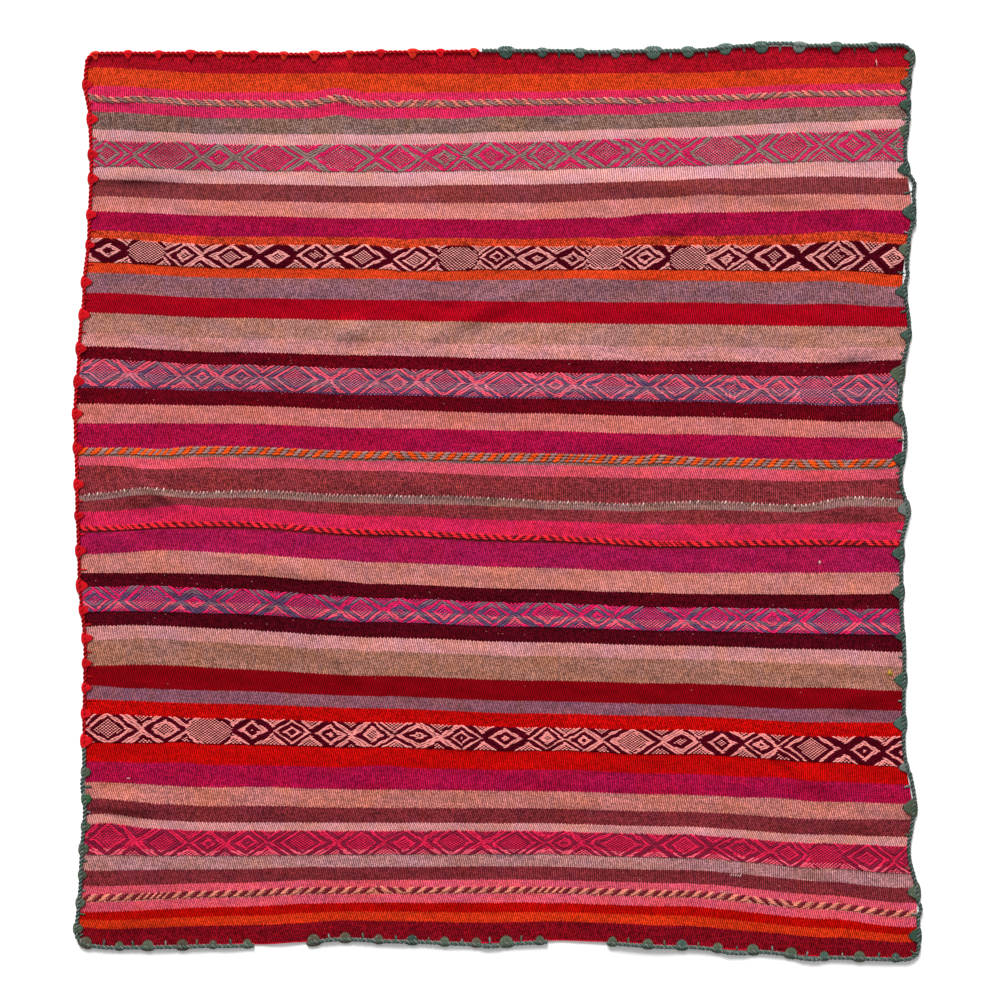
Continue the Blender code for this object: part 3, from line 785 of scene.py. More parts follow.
@dataclass(frozen=True)
class StripedCloth:
    """The finish of a panel: stripes of heathered wool in a warp-faced weave."""

    name: str
    stripes: tuple[Stripe, ...]
    teeth: float = 0.0019
    wander: float = 0.0016
    warp: float = 0.0021
    loops: float = 0.62
    # How strongly the colour is painted darker in the grooves between the picks and lighter on their crests:
    # painted shade and light of the ribs.
    painted_rib_shade: float = 1.65

    WARM = (1.05, 0.99, 0.84, 1.0)
    COOL = (0.95, 1.01, 1.17, 1.0)
    # The patterns of the grain and the cast: how many spots to a metre, along and across the stripes.
    PICK_STREAKS = (290.0, 30.0)
    YARN_STREAKS = (14.0, 520.0)
    DYE_PATCHES = (11.0, 26.0)
    WEFT_STREAKS = (70.0, 9.0)
    SPECKS = 470.0
    CLOUDS = 9.0
    # How strongly the pick streaks, the specks, the yarn streaks and the clouds show.
    GRAIN_SHARES = (0.55, 1.15, 0.6, 0.25)
    # Painted light and shade of the ground under the floats: none on plain cloth, painted light under pale
    # floats, painted shade under dark floats and braids.
    PLAIN_GROUND = (0.5, 0.5, 0.5, 1.0)
    PAINTED_GAP_LIGHT = (1.0, 1.0, 1.0, 1.0)
    PAINTED_GAP_SHADE = (0.1, 0.1, 0.1, 1.0)
    CHECK_PICKS = 10.5
    CHECK_HALF = 0.0215
    CHECK_ROW = 0.0024
    CHECK_RING = 4.0

    @property
    def width(self) -> float:
        """The width of all the stripes together."""
        return sum(stripe.width for stripe in self.stripes)

    def starts(self) -> list[float]:
        """Where the stripes start.

        Returns:
            The start of each stripe as a share of the panel's width, with the end of the last one.
        """
        places = [0.0]
        for stripe in self.stripes:
            places.append(places[-1] + stripe.width)
        return [place / self.width for place in places]

    def dyes(self, second: bool) -> list[tuple[float, Shade]]:
        """The stripes' colours.

        Args:
            second: whether the second dye of worked stripes is wanted.

        Returns:
            The start of each stripe and its colour, whose alpha holds how mottled it is.
        """
        stops = []
        for start, stripe in zip(self.starts(), self.stripes):
            dye = stripe.other if second and stripe.other else stripe.dye
            stops.append((start, dye.albedo + (min(1.0, stripe.mottle * 0.5),)))
        return stops

    def painted_gap_shading(self) -> list[tuple[float, Shade]]:
        """Where the ground under the floats is painted darker or lighter: painted shade in the gaps of dark
        floats and braids, painted light under pale floats.

        Returns:
            The place of each change and the lightness from there on.
        """
        stops = [(0.0, self.PLAIN_GROUND)]
        starts = self.starts()
        for start, stop, stripe in zip(starts, starts[1:], self.stripes):
            if stripe.work is not Work.PLAIN:
                pale = stripe.work is Work.DIAMONDS and stripe.other is not Dye.NIGHT_MAROON
                stops += [(start, self.PAINTED_GAP_LIGHT if pale else self.PAINTED_GAP_SHADE), (stop, self.PLAIN_GROUND)]
        return stops

    def toothed(self, weave: WeaveMap) -> Number:
        """Moves the stripes' edges as the weave does.

        Args:
            weave: the panel's map.

        Returns:
            The place across the panel, with a tooth at each pick, a slow drift and single nicks.
        """
        board = weave.board
        arch = board.math("ABSOLUTE", board.math("SINE", weave.along * (math.pi / (2.0 * PICK))))
        tooth = (arch - 0.6) * -self.teeth
        drift = (board.noise(weave.place, 26.0, 3.0, 0.6) - 0.5) * (self.wander * 2.0)
        nick = (board.noise(board.combine(weave.along, 0.0), 210.0, 1.0) - 0.5) * self.wander
        return (weave.across + tooth) + (drift + nick)

    def checks(self, weave: WeaveMap) -> Number:
        """The nested checks that the worked bands show on the underside.

        Args:
            weave: the panel's map.

        Returns:
            1 where the second dye shows and 0 where the first does.
        """
        board = weave.board
        column = board.math("PINGPONG", weave.along, self.CHECK_PICKS * PICK) / PICK
        row = board.math("PINGPONG", weave.across, self.CHECK_HALF) / self.CHECK_ROW
        rings = board.math("FRACT", (column + row) / self.CHECK_RING)
        return board.math("GREATER_THAN", rings, 0.5)

    def cast(self, weave: WeaveMap) -> bpy.types.NodeSocket:
        """The warm and cool cast of the hand-dyed wool, as a colour that the dyes are multiplied by."""
        warmth = weave.streaks(*self.DYE_PATCHES) * 2.2 + weave.streaks(*self.WEFT_STREAKS) * 1.3 - 1.25
        return weave.board.mix(warmth, self.COOL, self.WARM)

    def material(self) -> bpy.types.Material:
        """Builds the material.

        Returns:
            The material, which reads the panel's own map and attributes.
        """
        made, board = start_material(self.name)
        weave = WeaveMap.read(board)
        where = self.toothed(weave) / self.width
        first, second = board.steps(where, self.dyes(False)), board.steps(where, self.dyes(True))
        above = 1.0 - board.attribute("under")
        ground = board.math("MAXIMUM", self.checks(weave), above)
        painted = board.mix(ground, first.outputs[0], second.outputs[0])

        mottle = Number(board, first.outputs[1]) * 2.0
        row = board.math("FLOOR", weave.across / self.warp)
        turn = weave.along * (2.0 * math.pi / PICK) + row * 0.9
        rib = board.math("MULTIPLY_ADD", board.math("SINE", turn), 0.5, 0.5)
        pick = board.math("FLOOR", turn / (2.0 * math.pi))
        spot = board.combine(pick, row)
        loop = board.node("ShaderNodeTexWhiteNoise", {"Vector": spot}, noise_dimensions="2D")
        speck = board.noise(weave.place, self.SPECKS, 2.0, 0.6)
        patterns = (weave.streaks(*self.PICK_STREAKS), speck, weave.streaks(*self.YARN_STREAKS),
                    board.noise(weave.place, self.CLOUDS, 3.0, 0.6))
        factor = Number(board, loop.outputs[0]).swing(mottle * self.loops)
        for pattern, reach in zip(patterns, self.GRAIN_SHARES):
            factor = factor * pattern.swing(mottle * reach)
        # Painted shade in the grooves between the picks and painted light on their crests; the same ribs also
        # drive the bump.
        factor = factor * rib.swing(self.painted_rib_shade)

        # Painted shade in the gaps between dark floats and braids and painted light under pale floats, on the
        # upper face only.
        worked = (Number(board, board.steps(where, self.painted_gap_shading()).outputs[0]) - 0.5) * 0.8
        # The painted light and shade patches for the light's fall, the lit fold crests and the shaded creases
        # are multiplied in here too.
        factor = factor * (worked * above + 1.0) * board.attribute("tone")
        shaded = board.vector("SCALE", painted, scale=factor)
        shaded = board.mix(1.0, shaded, self.cast(weave), "MULTIPLY")
        board.surface(shaded, 0.92, 0.03, rib * 0.8 + speck * 0.5, 0.55, 0.0007)
        return made


@dataclass(frozen=True)
class SpunYarn:
    """The finish of loose yarn, tinted by the piece's own attribute and flecked along its fibres."""

    name: str
    fleck: float = 0.5
    fleck_scale: float = 420.0
    second: Colour | None = None
    second_share: float = 0.35

    def material(self) -> bpy.types.Material:
        """Builds the material.

        Returns:
            The material, which reads the piece's tint and painted shade.
        """
        made, board = start_material(self.name)
        tint = board.node("ShaderNodeAttribute", attribute_name="tint").outputs["Color"]
        place = board.node("ShaderNodeTexCoord").outputs["Object"]
        if self.second is not None:
            share = board.math("GREATER_THAN", board.noise(place, 260.0, 1.0), 1.0 - self.second_share - 0.1)
            tint = board.mix(share, tint, rgba(self.second))
        fibres = board.noise(place, self.fleck_scale, 2.0, 0.6)
        clouds = board.noise(place, 45.0, 2.0)
        # The shade attribute is painted shade: darker at the sides of each strand and where it dives into the
        # cloth.
        factor = fibres.swing(self.fleck) * board.attribute("shade") * clouds.swing(0.45)
        board.surface(board.vector("SCALE", tint, scale=factor), 0.85, 0.04, fibres, 0.4, 0.0004)
        return made


@dataclass(frozen=True)
class PaleFloor:
    """The finish of the plain pale floor."""

    name: str = "pale_floor"

    def material(self) -> bpy.types.Material:
        """Builds the material."""
        made, board = start_material(self.name)
        board.surface((0.9, 0.9, 0.9, 1.0), 0.9, 0.0)
        return made


def link(name: str, data: bpy.types.ID) -> bpy.types.Object:
    """Puts a mesh, light or camera in the scene as an object at the origin."""
    thing = bpy.data.objects.new(name, data)
    bpy.context.scene.collection.objects.link(thing)
    return thing


def drop(thing: bpy.types.Object) -> None:
    """Takes an object and its mesh out of the file.

    Args:
        thing: the object.
    """
    mesh = thing.data
    bpy.data.objects.remove(thing, do_unlink=True)
    if isinstance(mesh, bpy.types.Mesh) and mesh.users == 0:
        bpy.data.meshes.remove(mesh)


def carry(mesh: bpy.types.Mesh, name: str, kind: str, values: Sequence | np.ndarray) -> None:
    """Gives each point of a mesh a number, a vector or a colour of its own.

    Args:
        mesh: the mesh.
        name: the attribute's name.
        kind: FLOAT, FLOAT_VECTOR or FLOAT_COLOR.
        values: the values, a row for each point.
    """
    field = {"FLOAT": "value", "FLOAT_VECTOR": "vector", "FLOAT_COLOR": "color"}[kind]
    data = mesh.attributes.new(name, kind, "POINT").data
    data.foreach_set(field, np.asarray(values, dtype=np.float32).ravel())


def turn_outwards(mesh: bpy.types.Mesh) -> None:
    """Turns a closed mesh's faces outwards and shades them smooth.

    Args:
        mesh: the mesh.
    """
    shape = bmesh.new()
    shape.from_mesh(mesh)
    bmesh.ops.recalc_face_normals(shape, faces=shape.faces)
    shape.to_mesh(mesh)
    shape.free()
    mesh.shade_smooth()


class SmallShape:
    """Small closed shapes that Geometry Nodes repeat."""

    @staticmethod
    def tube(path: Sequence[Vector], radii: Sequence[float], sides: int) -> tuple[list, list, list]:
        """Sweeps a closed tube with pointed ends along a path.

        Args:
            path: the points it follows.
            radii: its radius at each point.
            sides: how many sides it has.

        Returns:
            Its points, its faces and a painted shade for each point, darkest where the yarn dives and at its
            sides and lightest on its top.
        """
        verts: list[Vector] = [path[0].copy()]
        shades = [0.4]
        faces: list[tuple[int, ...]] = []
        for index in range(1, len(path) - 1):
            ahead = (path[index + 1] - path[index - 1]).normalized()
            side = ahead.cross(Vector((0.0, 0.0, 1.0)))
            side = side.normalized() if side.length > 1e-6 else Vector((1.0, 0.0, 0.0))
            rise = side.cross(ahead).normalized()
            for corner in range(sides):
                turn = 2.0 * math.pi * (corner + 0.25 * (sides % 2)) / sides
                offset = side * math.cos(turn) + rise * math.sin(turn)
                verts.append(path[index] + offset * radii[index])
                # Painted shade: lighter on the yarn's top, darker at its sides and underside.
                shades.append(0.66 + 0.34 * max(0.0, math.sin(turn)))
        verts.append(path[-1].copy())
        shades.append(0.4)
        last = len(verts) - 1
        rings = len(path) - 2
        end = 1 + (rings - 1) * sides
        for corner in range(sides):
            following = (corner + 1) % sides
            faces.append((0, 1 + following, 1 + corner))
            for ring in range(rings - 1):
                here, there = 1 + ring * sides, 1 + (ring + 1) * sides
                faces.append((here + corner, here + following, there + following, there + corner))
            faces.append((last, end + corner, end + following))
        return verts, faces, shades

    @staticmethod
    def solid(name: str, verts: Sequence[Vector], faces: Sequence[tuple[int, ...]],
              shades: Sequence[float]) -> bpy.types.Object:
        """Makes a smooth closed object.

        Args:
            name: the object's name.
            verts: its points.
            faces: its faces.
            shades: the painted shade of each point.

        Returns:
            The object, with its faces turned outwards.
        """
        mesh = bpy.data.meshes.new(name)
        mesh.from_pydata([tuple(vert) for vert in verts], [], list(faces))
        carry(mesh, "shade", "FLOAT", shades)
        turn_outwards(mesh)
        return link(name, mesh)

    @classmethod
    def grain(cls, name: str, sides: int = 5) -> bpy.types.Object:
        """A grain of unit size: a float of yarn that dips into the cloth at both ends."""
        path = [Vector((x, 0.0, z)) for x, z in ((-0.5, -0.35), (-0.27, 0.0), (0.27, 0.0), (0.5, -0.35))]
        return cls.solid(name, *cls.tube(path, (0.0, 0.5, 0.5, 0.0), sides))

    @classmethod
    def fan(cls, name: str, strands: int, half: float, out: float, lap: float, high: float, thick: float,
            spread: float) -> bpy.types.Object:
        """A knot of the edging: strands that spread over the cord and meet at a point on the cloth.

        Args:
            name: the object's name.
            strands: how many strands it has.
            half: half of its length along the edge.
            out: how far it stands out past the cloth.
            lap: how far it reaches over the cloth.
            high: its height.
            thick: the radius of a strand.
            spread: how blunt its tip is, from 0 for a point to 1 for a tip as wide as the knot.

        Returns:
            The object, with x along the edge and y away from the cloth.
        """
        verts: list[Vector] = []
        faces: list[tuple[int, ...]] = []
        shades: list[float] = []
        for strand in range(strands):
            share = 2.0 * strand / (strands - 1) - 1.0
            turn = math.radians(74.0) * share
            far_x, far_y = (half - thick) * math.sin(turn), (out - thick) * math.cos(turn) ** 0.7
            reach = lap * (1.0 - 0.7 * spread * share * share)
            tip = Vector((share * half * spread, -reach, CLOTH + thick * 0.7))
            low = Vector((far_x * 0.92, far_y * 0.72, thick * 0.5))
            rim = Vector((far_x, far_y, high * 0.45))
            crest = Vector((far_x * 0.86, far_y * 0.52, high - thick))
            shoulder_z = CLOTH + thick * (1.5 - 0.4 * abs(share))
            shoulder = Vector((far_x * (0.5 + 0.4 * spread), -reach * 0.38, shoulder_z))
            path = [low, low.lerp(rim, 0.5), rim, rim.lerp(crest, 0.6), crest, shoulder,
                    shoulder.lerp(tip, 0.6), tip]
            radii = (0.0, thick * 0.9, thick, thick, thick, thick * 0.95, thick * 0.75, 0.0)
            base = len(verts)
            more, sides, dark = cls.tube(path, radii, 5)
            verts += more
            shades += dark
            faces += [tuple(corner + base for corner in face) for face in sides]
        return cls.solid(name, verts, faces, shades)


class Repeater:
    """Geometry Nodes that lay copies of a small shape on points, by the points' own attributes."""

    def __init__(self) -> None:
        """Builds the node tree once, for every set that uses it."""
        inputs = {"Points": "Geometry", "Shape": "Object", "Thickness": "Float", "Unevenness": "Float",
                  "Seed": "Int", "Finish": "Material"}
        board = Board.group("lay_shapes", inputs, "Shapes")
        self.tree = board.tree
        given = board.node("NodeGroupInput").outputs
        shape = board.node("GeometryNodeObjectInfo", {"Object": given["Shape"]})
        aim, size = (board.node("GeometryNodeInputNamedAttribute", {"Name": name}, data_type="FLOAT_VECTOR")
                     for name in ("aim", "size"))
        uneven = Number(board, given["Unevenness"])
        spread = {2: 1.0 - uneven, 3: uneven + 1.0, "Seed": given["Seed"]}
        chance = board.node("FunctionNodeRandomValue", spread, data_type="FLOAT")
        scale = board.vector("MULTIPLY", size.outputs[0], board.combine(1.0, 1.0, given["Thickness"]))
        scale = board.vector("SCALE", scale, scale=chance.outputs[1])
        laid = board.node("GeometryNodeInstanceOnPoints",
                          {"Points": given["Points"], "Instance": shape.outputs["Geometry"],
                           "Rotation": aim.outputs[0], "Scale": scale})
        board.hand_out(laid.outputs[0], given["Finish"])

    def lay(self, name: str, shape: bpy.types.Object, points: np.ndarray, aims: np.ndarray, sizes: np.ndarray,
            tints: np.ndarray, finish: bpy.types.Material, uneven: float = 0.08,
            seed: int = 1) -> bpy.types.Object:
        """Lays the copies and returns them as one plain object.

        Args:
            name: the piece's name.
            shape: the shape to repeat.
            points: a place for each copy.
            aims: the turn of each copy about x, y and z.
            sizes: the scale of each copy along its own axes.
            tints: the linear colour of each copy.
            finish: the material of them all.
            uneven: how far the sizes vary.
            seed: the seed of that variation.

        Returns:
            The finished piece.
        """
        mesh = bpy.data.meshes.new(name + "_points")
        mesh.vertices.add(len(points))
        mesh.vertices.foreach_set("co", np.asarray(points, dtype=np.float32).ravel())
        carry(mesh, "aim", "FLOAT_VECTOR", aims)
        carry(mesh, "size", "FLOAT_VECTOR", sizes)
        carry(mesh, "tint", "FLOAT_COLOR", np.concatenate([tints, np.ones((len(tints), 1))], axis=1))
        values = {"Shape": shape, "Thickness": 1.0, "Unevenness": uneven, "Seed": seed, "Finish": finish}
        return bake(name, mesh, self.tree, values)


def bake(name: str, mesh: bpy.types.Mesh, tree: bpy.types.NodeTree, values: dict) -> bpy.types.Object:
    """Runs Geometry Nodes on a mesh and makes a plain object of the result.

    Args:
        name: the finished object's name.
        mesh: the mesh that the nodes start from.
        tree: the nodes.
        values: the nodes' inputs by their names, set by their identifiers.

    Returns:
        The finished object.
    """
    holder = link(mesh.name, mesh)
    modifier = holder.modifiers.new("lay", "NODES")
    modifier.node_group = tree
    for item in tree.interface.items_tree:
        if item.item_type == "SOCKET" and item.in_out == "INPUT" and item.name in values:
            modifier[item.identifier] = values[item.name]
    view = bpy.context.evaluated_depsgraph_get()
    made = bpy.data.meshes.new_from_object(holder.evaluated_get(view), depsgraph=view)
    holder.modifiers.remove(modifier)
    drop(holder)
    made.name = name
    return link(name, made)


@dataclass
class Panel:
    """One woven panel, as a closed sheet with its stripes mapped along its own weave."""

    name: str
    upper: bool
    stripes: tuple[Stripe, ...]
    cell: float = 0.0072
    rims: tuple[float, ...] = (0.0016, 0.0016 * 2.6, 0.0016 * 6.8)

    @property
    def outer_level(self) -> float:
        """The level of the panel's outer edge."""
        return Lie.TOP_LEVEL if self.upper else Lie.BOTTOM_LEVEL

    def lines(self, start: float, stop: float, both: bool) -> np.ndarray:
        """Grid lines, closer together by the edges that show.

        Args:
            start: the first line, by an edge that shows.
            stop: the last line.
            both: whether the last line is by such an edge as well.

        Returns:
            The lines from start to stop.
        """
        length = abs(stop - start)
        lines = list(np.linspace(0.0, length, int(length / self.cell) + 1)) + list(self.rims)
        if both:
            lines += [length - rim for rim in self.rims]
        return start + (stop - start) * np.array(sorted(lines)) / length

    def grid(self) -> tuple[np.ndarray, np.ndarray, np.ndarray]:
        """The underside's points, with rounded outer corners.

        Returns:
            Their x, y and z, and how far along the stripes and across them each one is on the panel's map.
        """
        share, level = np.meshgrid(self.lines(0.0, LENGTH, True) / LENGTH,
                                   self.lines(self.outer_level, Lie.SEAM_LEVEL, False))
        left, right = share * LENGTH, (1.0 - share) * LENGTH
        side, outer = np.minimum(left, right), np.abs(self.outer_level - level)
        from_side, from_outer = np.maximum(CORNER - side, 0.0), np.maximum(CORNER - outer, 0.0)
        corner = (from_side > 0.0) & (from_outer > 0.0)
        size = np.hypot(from_side, from_outer)
        pull = np.where(corner, np.maximum(from_side, from_outer) / np.maximum(size, 1e-9), 1.0)
        moved = np.where(corner, CORNER - from_side * pull, side)
        share = np.where(left < right, moved, LENGTH - moved) / LENGTH
        inward = -1.0 if self.upper else 1.0
        level = np.where(corner, self.outer_level + inward * (CORNER - from_outer * pull), level)
        x, y = Lie.place(share, level)
        to_seam = np.abs(level - Lie.SEAM_LEVEL) < 1e-6
        y = y + np.where(to_seam, (0.5 if self.upper else -0.5) * SEAM_GAP, 0.0)
        z = Lie.lift(x, y) + Lie.ripple(x, y)
        start = Lie.TOP_LEVEL if self.upper else Lie.SEAM_LEVEL
        return np.stack([x, y, z], axis=-1), share * LENGTH, start - level

    def build(self) -> bpy.types.Object:
        """Builds the panel and dresses it.

        Returns:
            The panel, a closed sheet as thick as the cloth.
        """
        points, along, across = self.grid()
        tall, wide = along.shape
        count = tall * wide
        under = points.reshape(-1, 3)
        over = under + np.array((0.0, 0.0, CLOTH))
        index = np.arange(count).reshape(tall, wide)
        near, right = index[:-1, :-1].ravel(), index[:-1, 1:].ravel()
        far, left = index[1:, 1:].ravel(), index[1:, :-1].ravel()
        rim = np.concatenate([index[0, :], index[1:, -1], index[-1, -2::-1], index[-2:0:-1, 0]])
        following = np.roll(rim, -1)
        faces = np.concatenate([np.stack([near, right, far, left], axis=1),
                                np.stack([left, far, right, near], axis=1) + count,
                                np.stack([following, rim, rim + count, following + count], axis=1)])
        mesh = bpy.data.meshes.new(self.name)
        mesh.from_pydata(np.concatenate([under, over]).tolist(), [], faces.tolist())
        loops = np.empty(len(mesh.loops), dtype=np.int32)
        mesh.loops.foreach_get("vertex_index", loops)
        flat = np.stack([np.tile(along.ravel(), 2), np.tile(across.ravel(), 2)], axis=1)
        mesh.uv_layers.new(name="weave").data.foreach_set("uv", flat[loops].astype(np.float32).ravel())
        carry(mesh, "under", "FLOAT", np.repeat([1.0, 0.0], count))
        # The painted light and shade of each point, which the cloth's material multiplies in.
        carry(mesh, "tone", "FLOAT", np.tile(Lie.tone(under[:, 0], under[:, 1]), 2))
        turn_outwards(mesh)
        mesh.set_sharp_from_angle(angle=math.radians(50.0))
        mesh.materials.append(StripedCloth(self.name + "_wool", self.stripes).material())
        return link(self.name, mesh)

    def outline(self) -> list[Vector]:
        """The points of the outer edge on the underside, from the seam's left end round to its right."""
        points, _along, _across = self.grid()
        return [Vector(point) for point in np.concatenate([points[::-1, 0], points[0, 1:], points[1:, -1]])]


def turns(ahead: np.ndarray, right: np.ndarray, slant: np.ndarray) -> np.ndarray:
    """The turns that lay a shape along a direction on the cloth.

    Args:
        ahead: directions along the stripes on the cloth.
        right: directions across them.
        slant: how far each shape is turned from the stripes, in radians.

    Returns:
        The turns about x, y and z, in radians.
    """
    ahead = ahead / np.linalg.norm(ahead, axis=1, keepdims=True)
    up = np.cross(ahead, right)
    up = up / np.linalg.norm(up, axis=1, keepdims=True)
    side = np.cross(up, ahead)
    forward = ahead * np.cos(slant)[:, None] + side * np.sin(slant)[:, None]
    side = np.cross(up, forward)
    about_y = -np.arcsin(np.clip(forward[:, 2], -1.0, 1.0))
    about_z = np.arctan2(forward[:, 1], forward[:, 0])
    about_x = np.arctan2(side[:, 2], up[:, 2])
    return np.stack([about_x, about_y, about_z], axis=1)


@dataclass
class FloatSet:
    """A set of yarn floats that lie on the cloth, gathered before they are laid."""

    name: str

    def __post_init__(self) -> None:
        """Starts with no floats."""
        self.rows: list[tuple[float, float, float, float, float, float, Colour]] = []

    def add(self, along: float, level: float, long: float, wide: float, high: float, slant: float,
            tint: Colour) -> None:
        """Adds one float by its place on straightened cloth, its size, its slant and its colour."""
        self.rows.append((along, level, long, wide, high, slant, tint))

    def lay(self, repeater: Repeater, shape: bpy.types.Object, finish: bpy.types.Material,
            seed: int) -> bpy.types.Object:
        """Lays the floats on the cloth.

        Args:
            repeater: the nodes that lay them.
            shape: the grain of yarn.
            finish: their material.
            seed: the seed of their unevenness.

        Returns:
            The piece.
        """
        values = np.array([row[:6] for row in self.rows])
        tints = np.array([row[6] for row in self.rows])
        share, level = values[:, 0] / LENGTH, values[:, 1]
        here = Lie.top(share, level)
        ahead = Lie.top(share + STEP / LENGTH, level) - here
        right = Lie.top(share, level + STEP) - here
        # The floats are painted with the same light and shade patches as the cloth under them.
        tints = tints * Lie.tone(here[:, 0], here[:, 1])[:, None]
        here[:, 2] += values[:, 4] * 0.25
        aims = turns(ahead, right, values[:, 5])
        return repeater.lay(self.name, shape, here, aims, values[:, 2:5], tints, finish, seed=seed)


@dataclass
class DiamondBand:
    """A band of nested diamonds in two dyes, worked in floats from row to row.

    A word gives the dyes from the diamond's side inwards, or outwards for a filler: A and B are the two dyes,
    and x is a checked ground of single floats.
    """

    name: str
    start: float
    width: float
    lights: tuple[Dye, ...]
    darks: tuple[Dye, ...]
    seed: int
    motifs: tuple[str, ...] = ("AABBBAAABBxx", "AAABBBAAxxxx", "BBBAAAxxxxxx", "AABBBAABBBAAxxxx",
                               "BBAAABBBxxxxx")
    fillers: tuple[str, ...] = ("AABBBxxxxx", "BBBAAxxxxx", "AAABBBxxxx", "BBAAxxxxxx")
    steep: tuple[float, float] = (0.80, 1.05)
    wide: float = 0.25
    checked: float = 0.10
    row: float = 0.00242
    overhang: float = 0.0005

    # What a pick shows: 0 for the dark dye, 1 for the light dye, or a check, which is light every other time.
    CHECK = 2
    LIGHT_CHECK = 3
    # How many rows away from a diamond's side its words are read.
    DEPTH = 24

    @classmethod
    def word(cls, dice: np.random.Generator, words: tuple[str, ...]) -> np.ndarray:
        """Draws a word and changes its dyes over half of the time.

        Args:
            dice: where the draws come from.
            words: the words to draw from.

        Returns:
            What it shows at each row away from the diamond's side.
        """
        word = words[int(dice.integers(len(words)))]
        swapped = dice.random() < 0.5
        codes = {"A": 1 - int(swapped), "B": int(swapped), "x": cls.CHECK}
        return np.array([codes[letter] for letter in word.ljust(cls.DEPTH, word[-1])])

    @staticmethod
    def drift(dice: np.random.Generator, count: int, apart: float) -> np.ndarray:
        """A smooth random line over so many picks, from -1 to 1, with corners so many picks apart."""
        corners = dice.uniform(-1.0, 1.0, int(count / apart) + 3)
        return np.interp(np.arange(count) / apart, np.arange(len(corners)), corners)[None, :]

    def chart(self) -> tuple[np.ndarray, np.ndarray]:
        """Works out the band's pattern, diamond by diamond.

        Returns:
            What shows at each row and pick, and which way the diamond's side slants there.
        """
        dice = np.random.default_rng(self.seed)
        rows, picks = int(round((self.width + 2.0 * self.overhang) / self.row)), int(LENGTH / PICK)
        row, pick = np.meshgrid(np.arange(rows), np.arange(picks), indexing="ij")
        shows = np.zeros(row.shape, dtype=int)
        slants = np.zeros(row.shape)
        middle, half = (rows - 1) / 2.0, rows / 2.0
        sway, bumps = self.drift(dice, picks, 9.0), self.drift(dice, picks, 2.5) * 0.9
        tip = float(dice.uniform(-9.0, 0.0))
        filler = self.word(dice, self.fillers)
        while tip < picks:
            kind, steep = dice.random(), dice.uniform(*self.steep)
            lens = kind < self.checked
            stretch = dice.uniform(1.35, 2.1) if kind > 1.0 - self.wide else dice.uniform(0.95, 1.2)
            gap = 2.0 * half / steep * stretch
            share = (pick - tip) / gap
            inside_gap = (share >= 0.0) & (share < 1.0)
            height = np.abs(row - middle - dice.uniform(-0.8, 0.8) - sway)
            bow = half * np.sqrt(np.clip(1.0 - (2.0 * share - 1.0) ** 2, 0.0, 1.0))
            line = bow if lens else np.minimum(pick - tip, tip + gap - pick) * steep
            away = np.maximum(np.abs(height - line + bumps) - 0.35, 0.0).astype(int)
            away = np.clip(away, 0, self.DEPTH - 1)
            motif = np.full(self.DEPTH, self.CHECK) if lens else self.word(dice, self.motifs)
            following = self.word(dice, self.fillers)
            outside = np.where(share < 0.5, filler[away], following[away])
            shows = np.where(inside_gap, np.where(height < line, motif[away], outside), shows)
            slants = np.where(inside_gap, np.sign(0.5 - share) * np.sign(middle - row), slants)
            filler = following
            tip += gap
        return shows, slants

    def gather(self) -> FloatSet:
        """Turns the chart into floats, one for each short run of picks, and none for a dark check.

        Returns:
            The floats of the band.
        """
        floats = FloatSet(self.name)
        dice = random.Random(self.seed)
        shows, slants = self.chart()
        count = len(shows)
        pitch = (self.width + 2.0 * self.overhang) / count
        for row, (line, leans) in enumerate(zip(shows, slants)):
            level = self.start + self.overhang - (row + 0.5) * pitch
            dyes = [self.yarn(dice, family, row / count) for family in (self.darks, self.lights)]
            checks = (np.arange(len(line)) + row) % 2
            shown = np.where(line == self.CHECK, self.CHECK + checks, line)
            inner = [place for place in range(1, len(line)) if shown[place] != shown[place - 1]]
            breaks = [0] + inner + [len(line)]
            for first, last in zip(breaks, breaks[1:]):
                if shown[first] == self.CHECK:
                    continue
                single = shown[first] == self.LIGHT_CHECK
                parts = max(1, round((last - first) / 2.5))
                size = (last - first) / parts
                for part in range(parts):
                    centre = first + (part + 0.5) * size
                    lean = leans[min(int(centre), len(line) - 1)]
                    bright = dice.uniform(0.90, 1.30)
                    tint = tuple(value * bright for value in dyes[1 if single else int(shown[first])])
                    slant = lean * math.radians(10.0 if single else 19.0) + dice.uniform(-0.08, 0.08)
                    along = min(max(centre * PICK, 0.004), LENGTH - 0.004)
                    long, wide = size * PICK * (1.22 if single else 1.28), pitch * (0.94 if single else 1.16)
                    floats.add(along, level, long, wide, 0.0026, slant, tint)
        return floats

    @staticmethod
    def yarn(dice: random.Random, family: tuple[Dye, ...], down: float) -> Colour:
        """The dye of one warp yarn: the family runs from the band's top to its foot, with some mixing."""
        spot = min(max(int(down * len(family) + dice.uniform(-0.35, 0.35)), 0), len(family) - 1)
        return family[spot].albedo


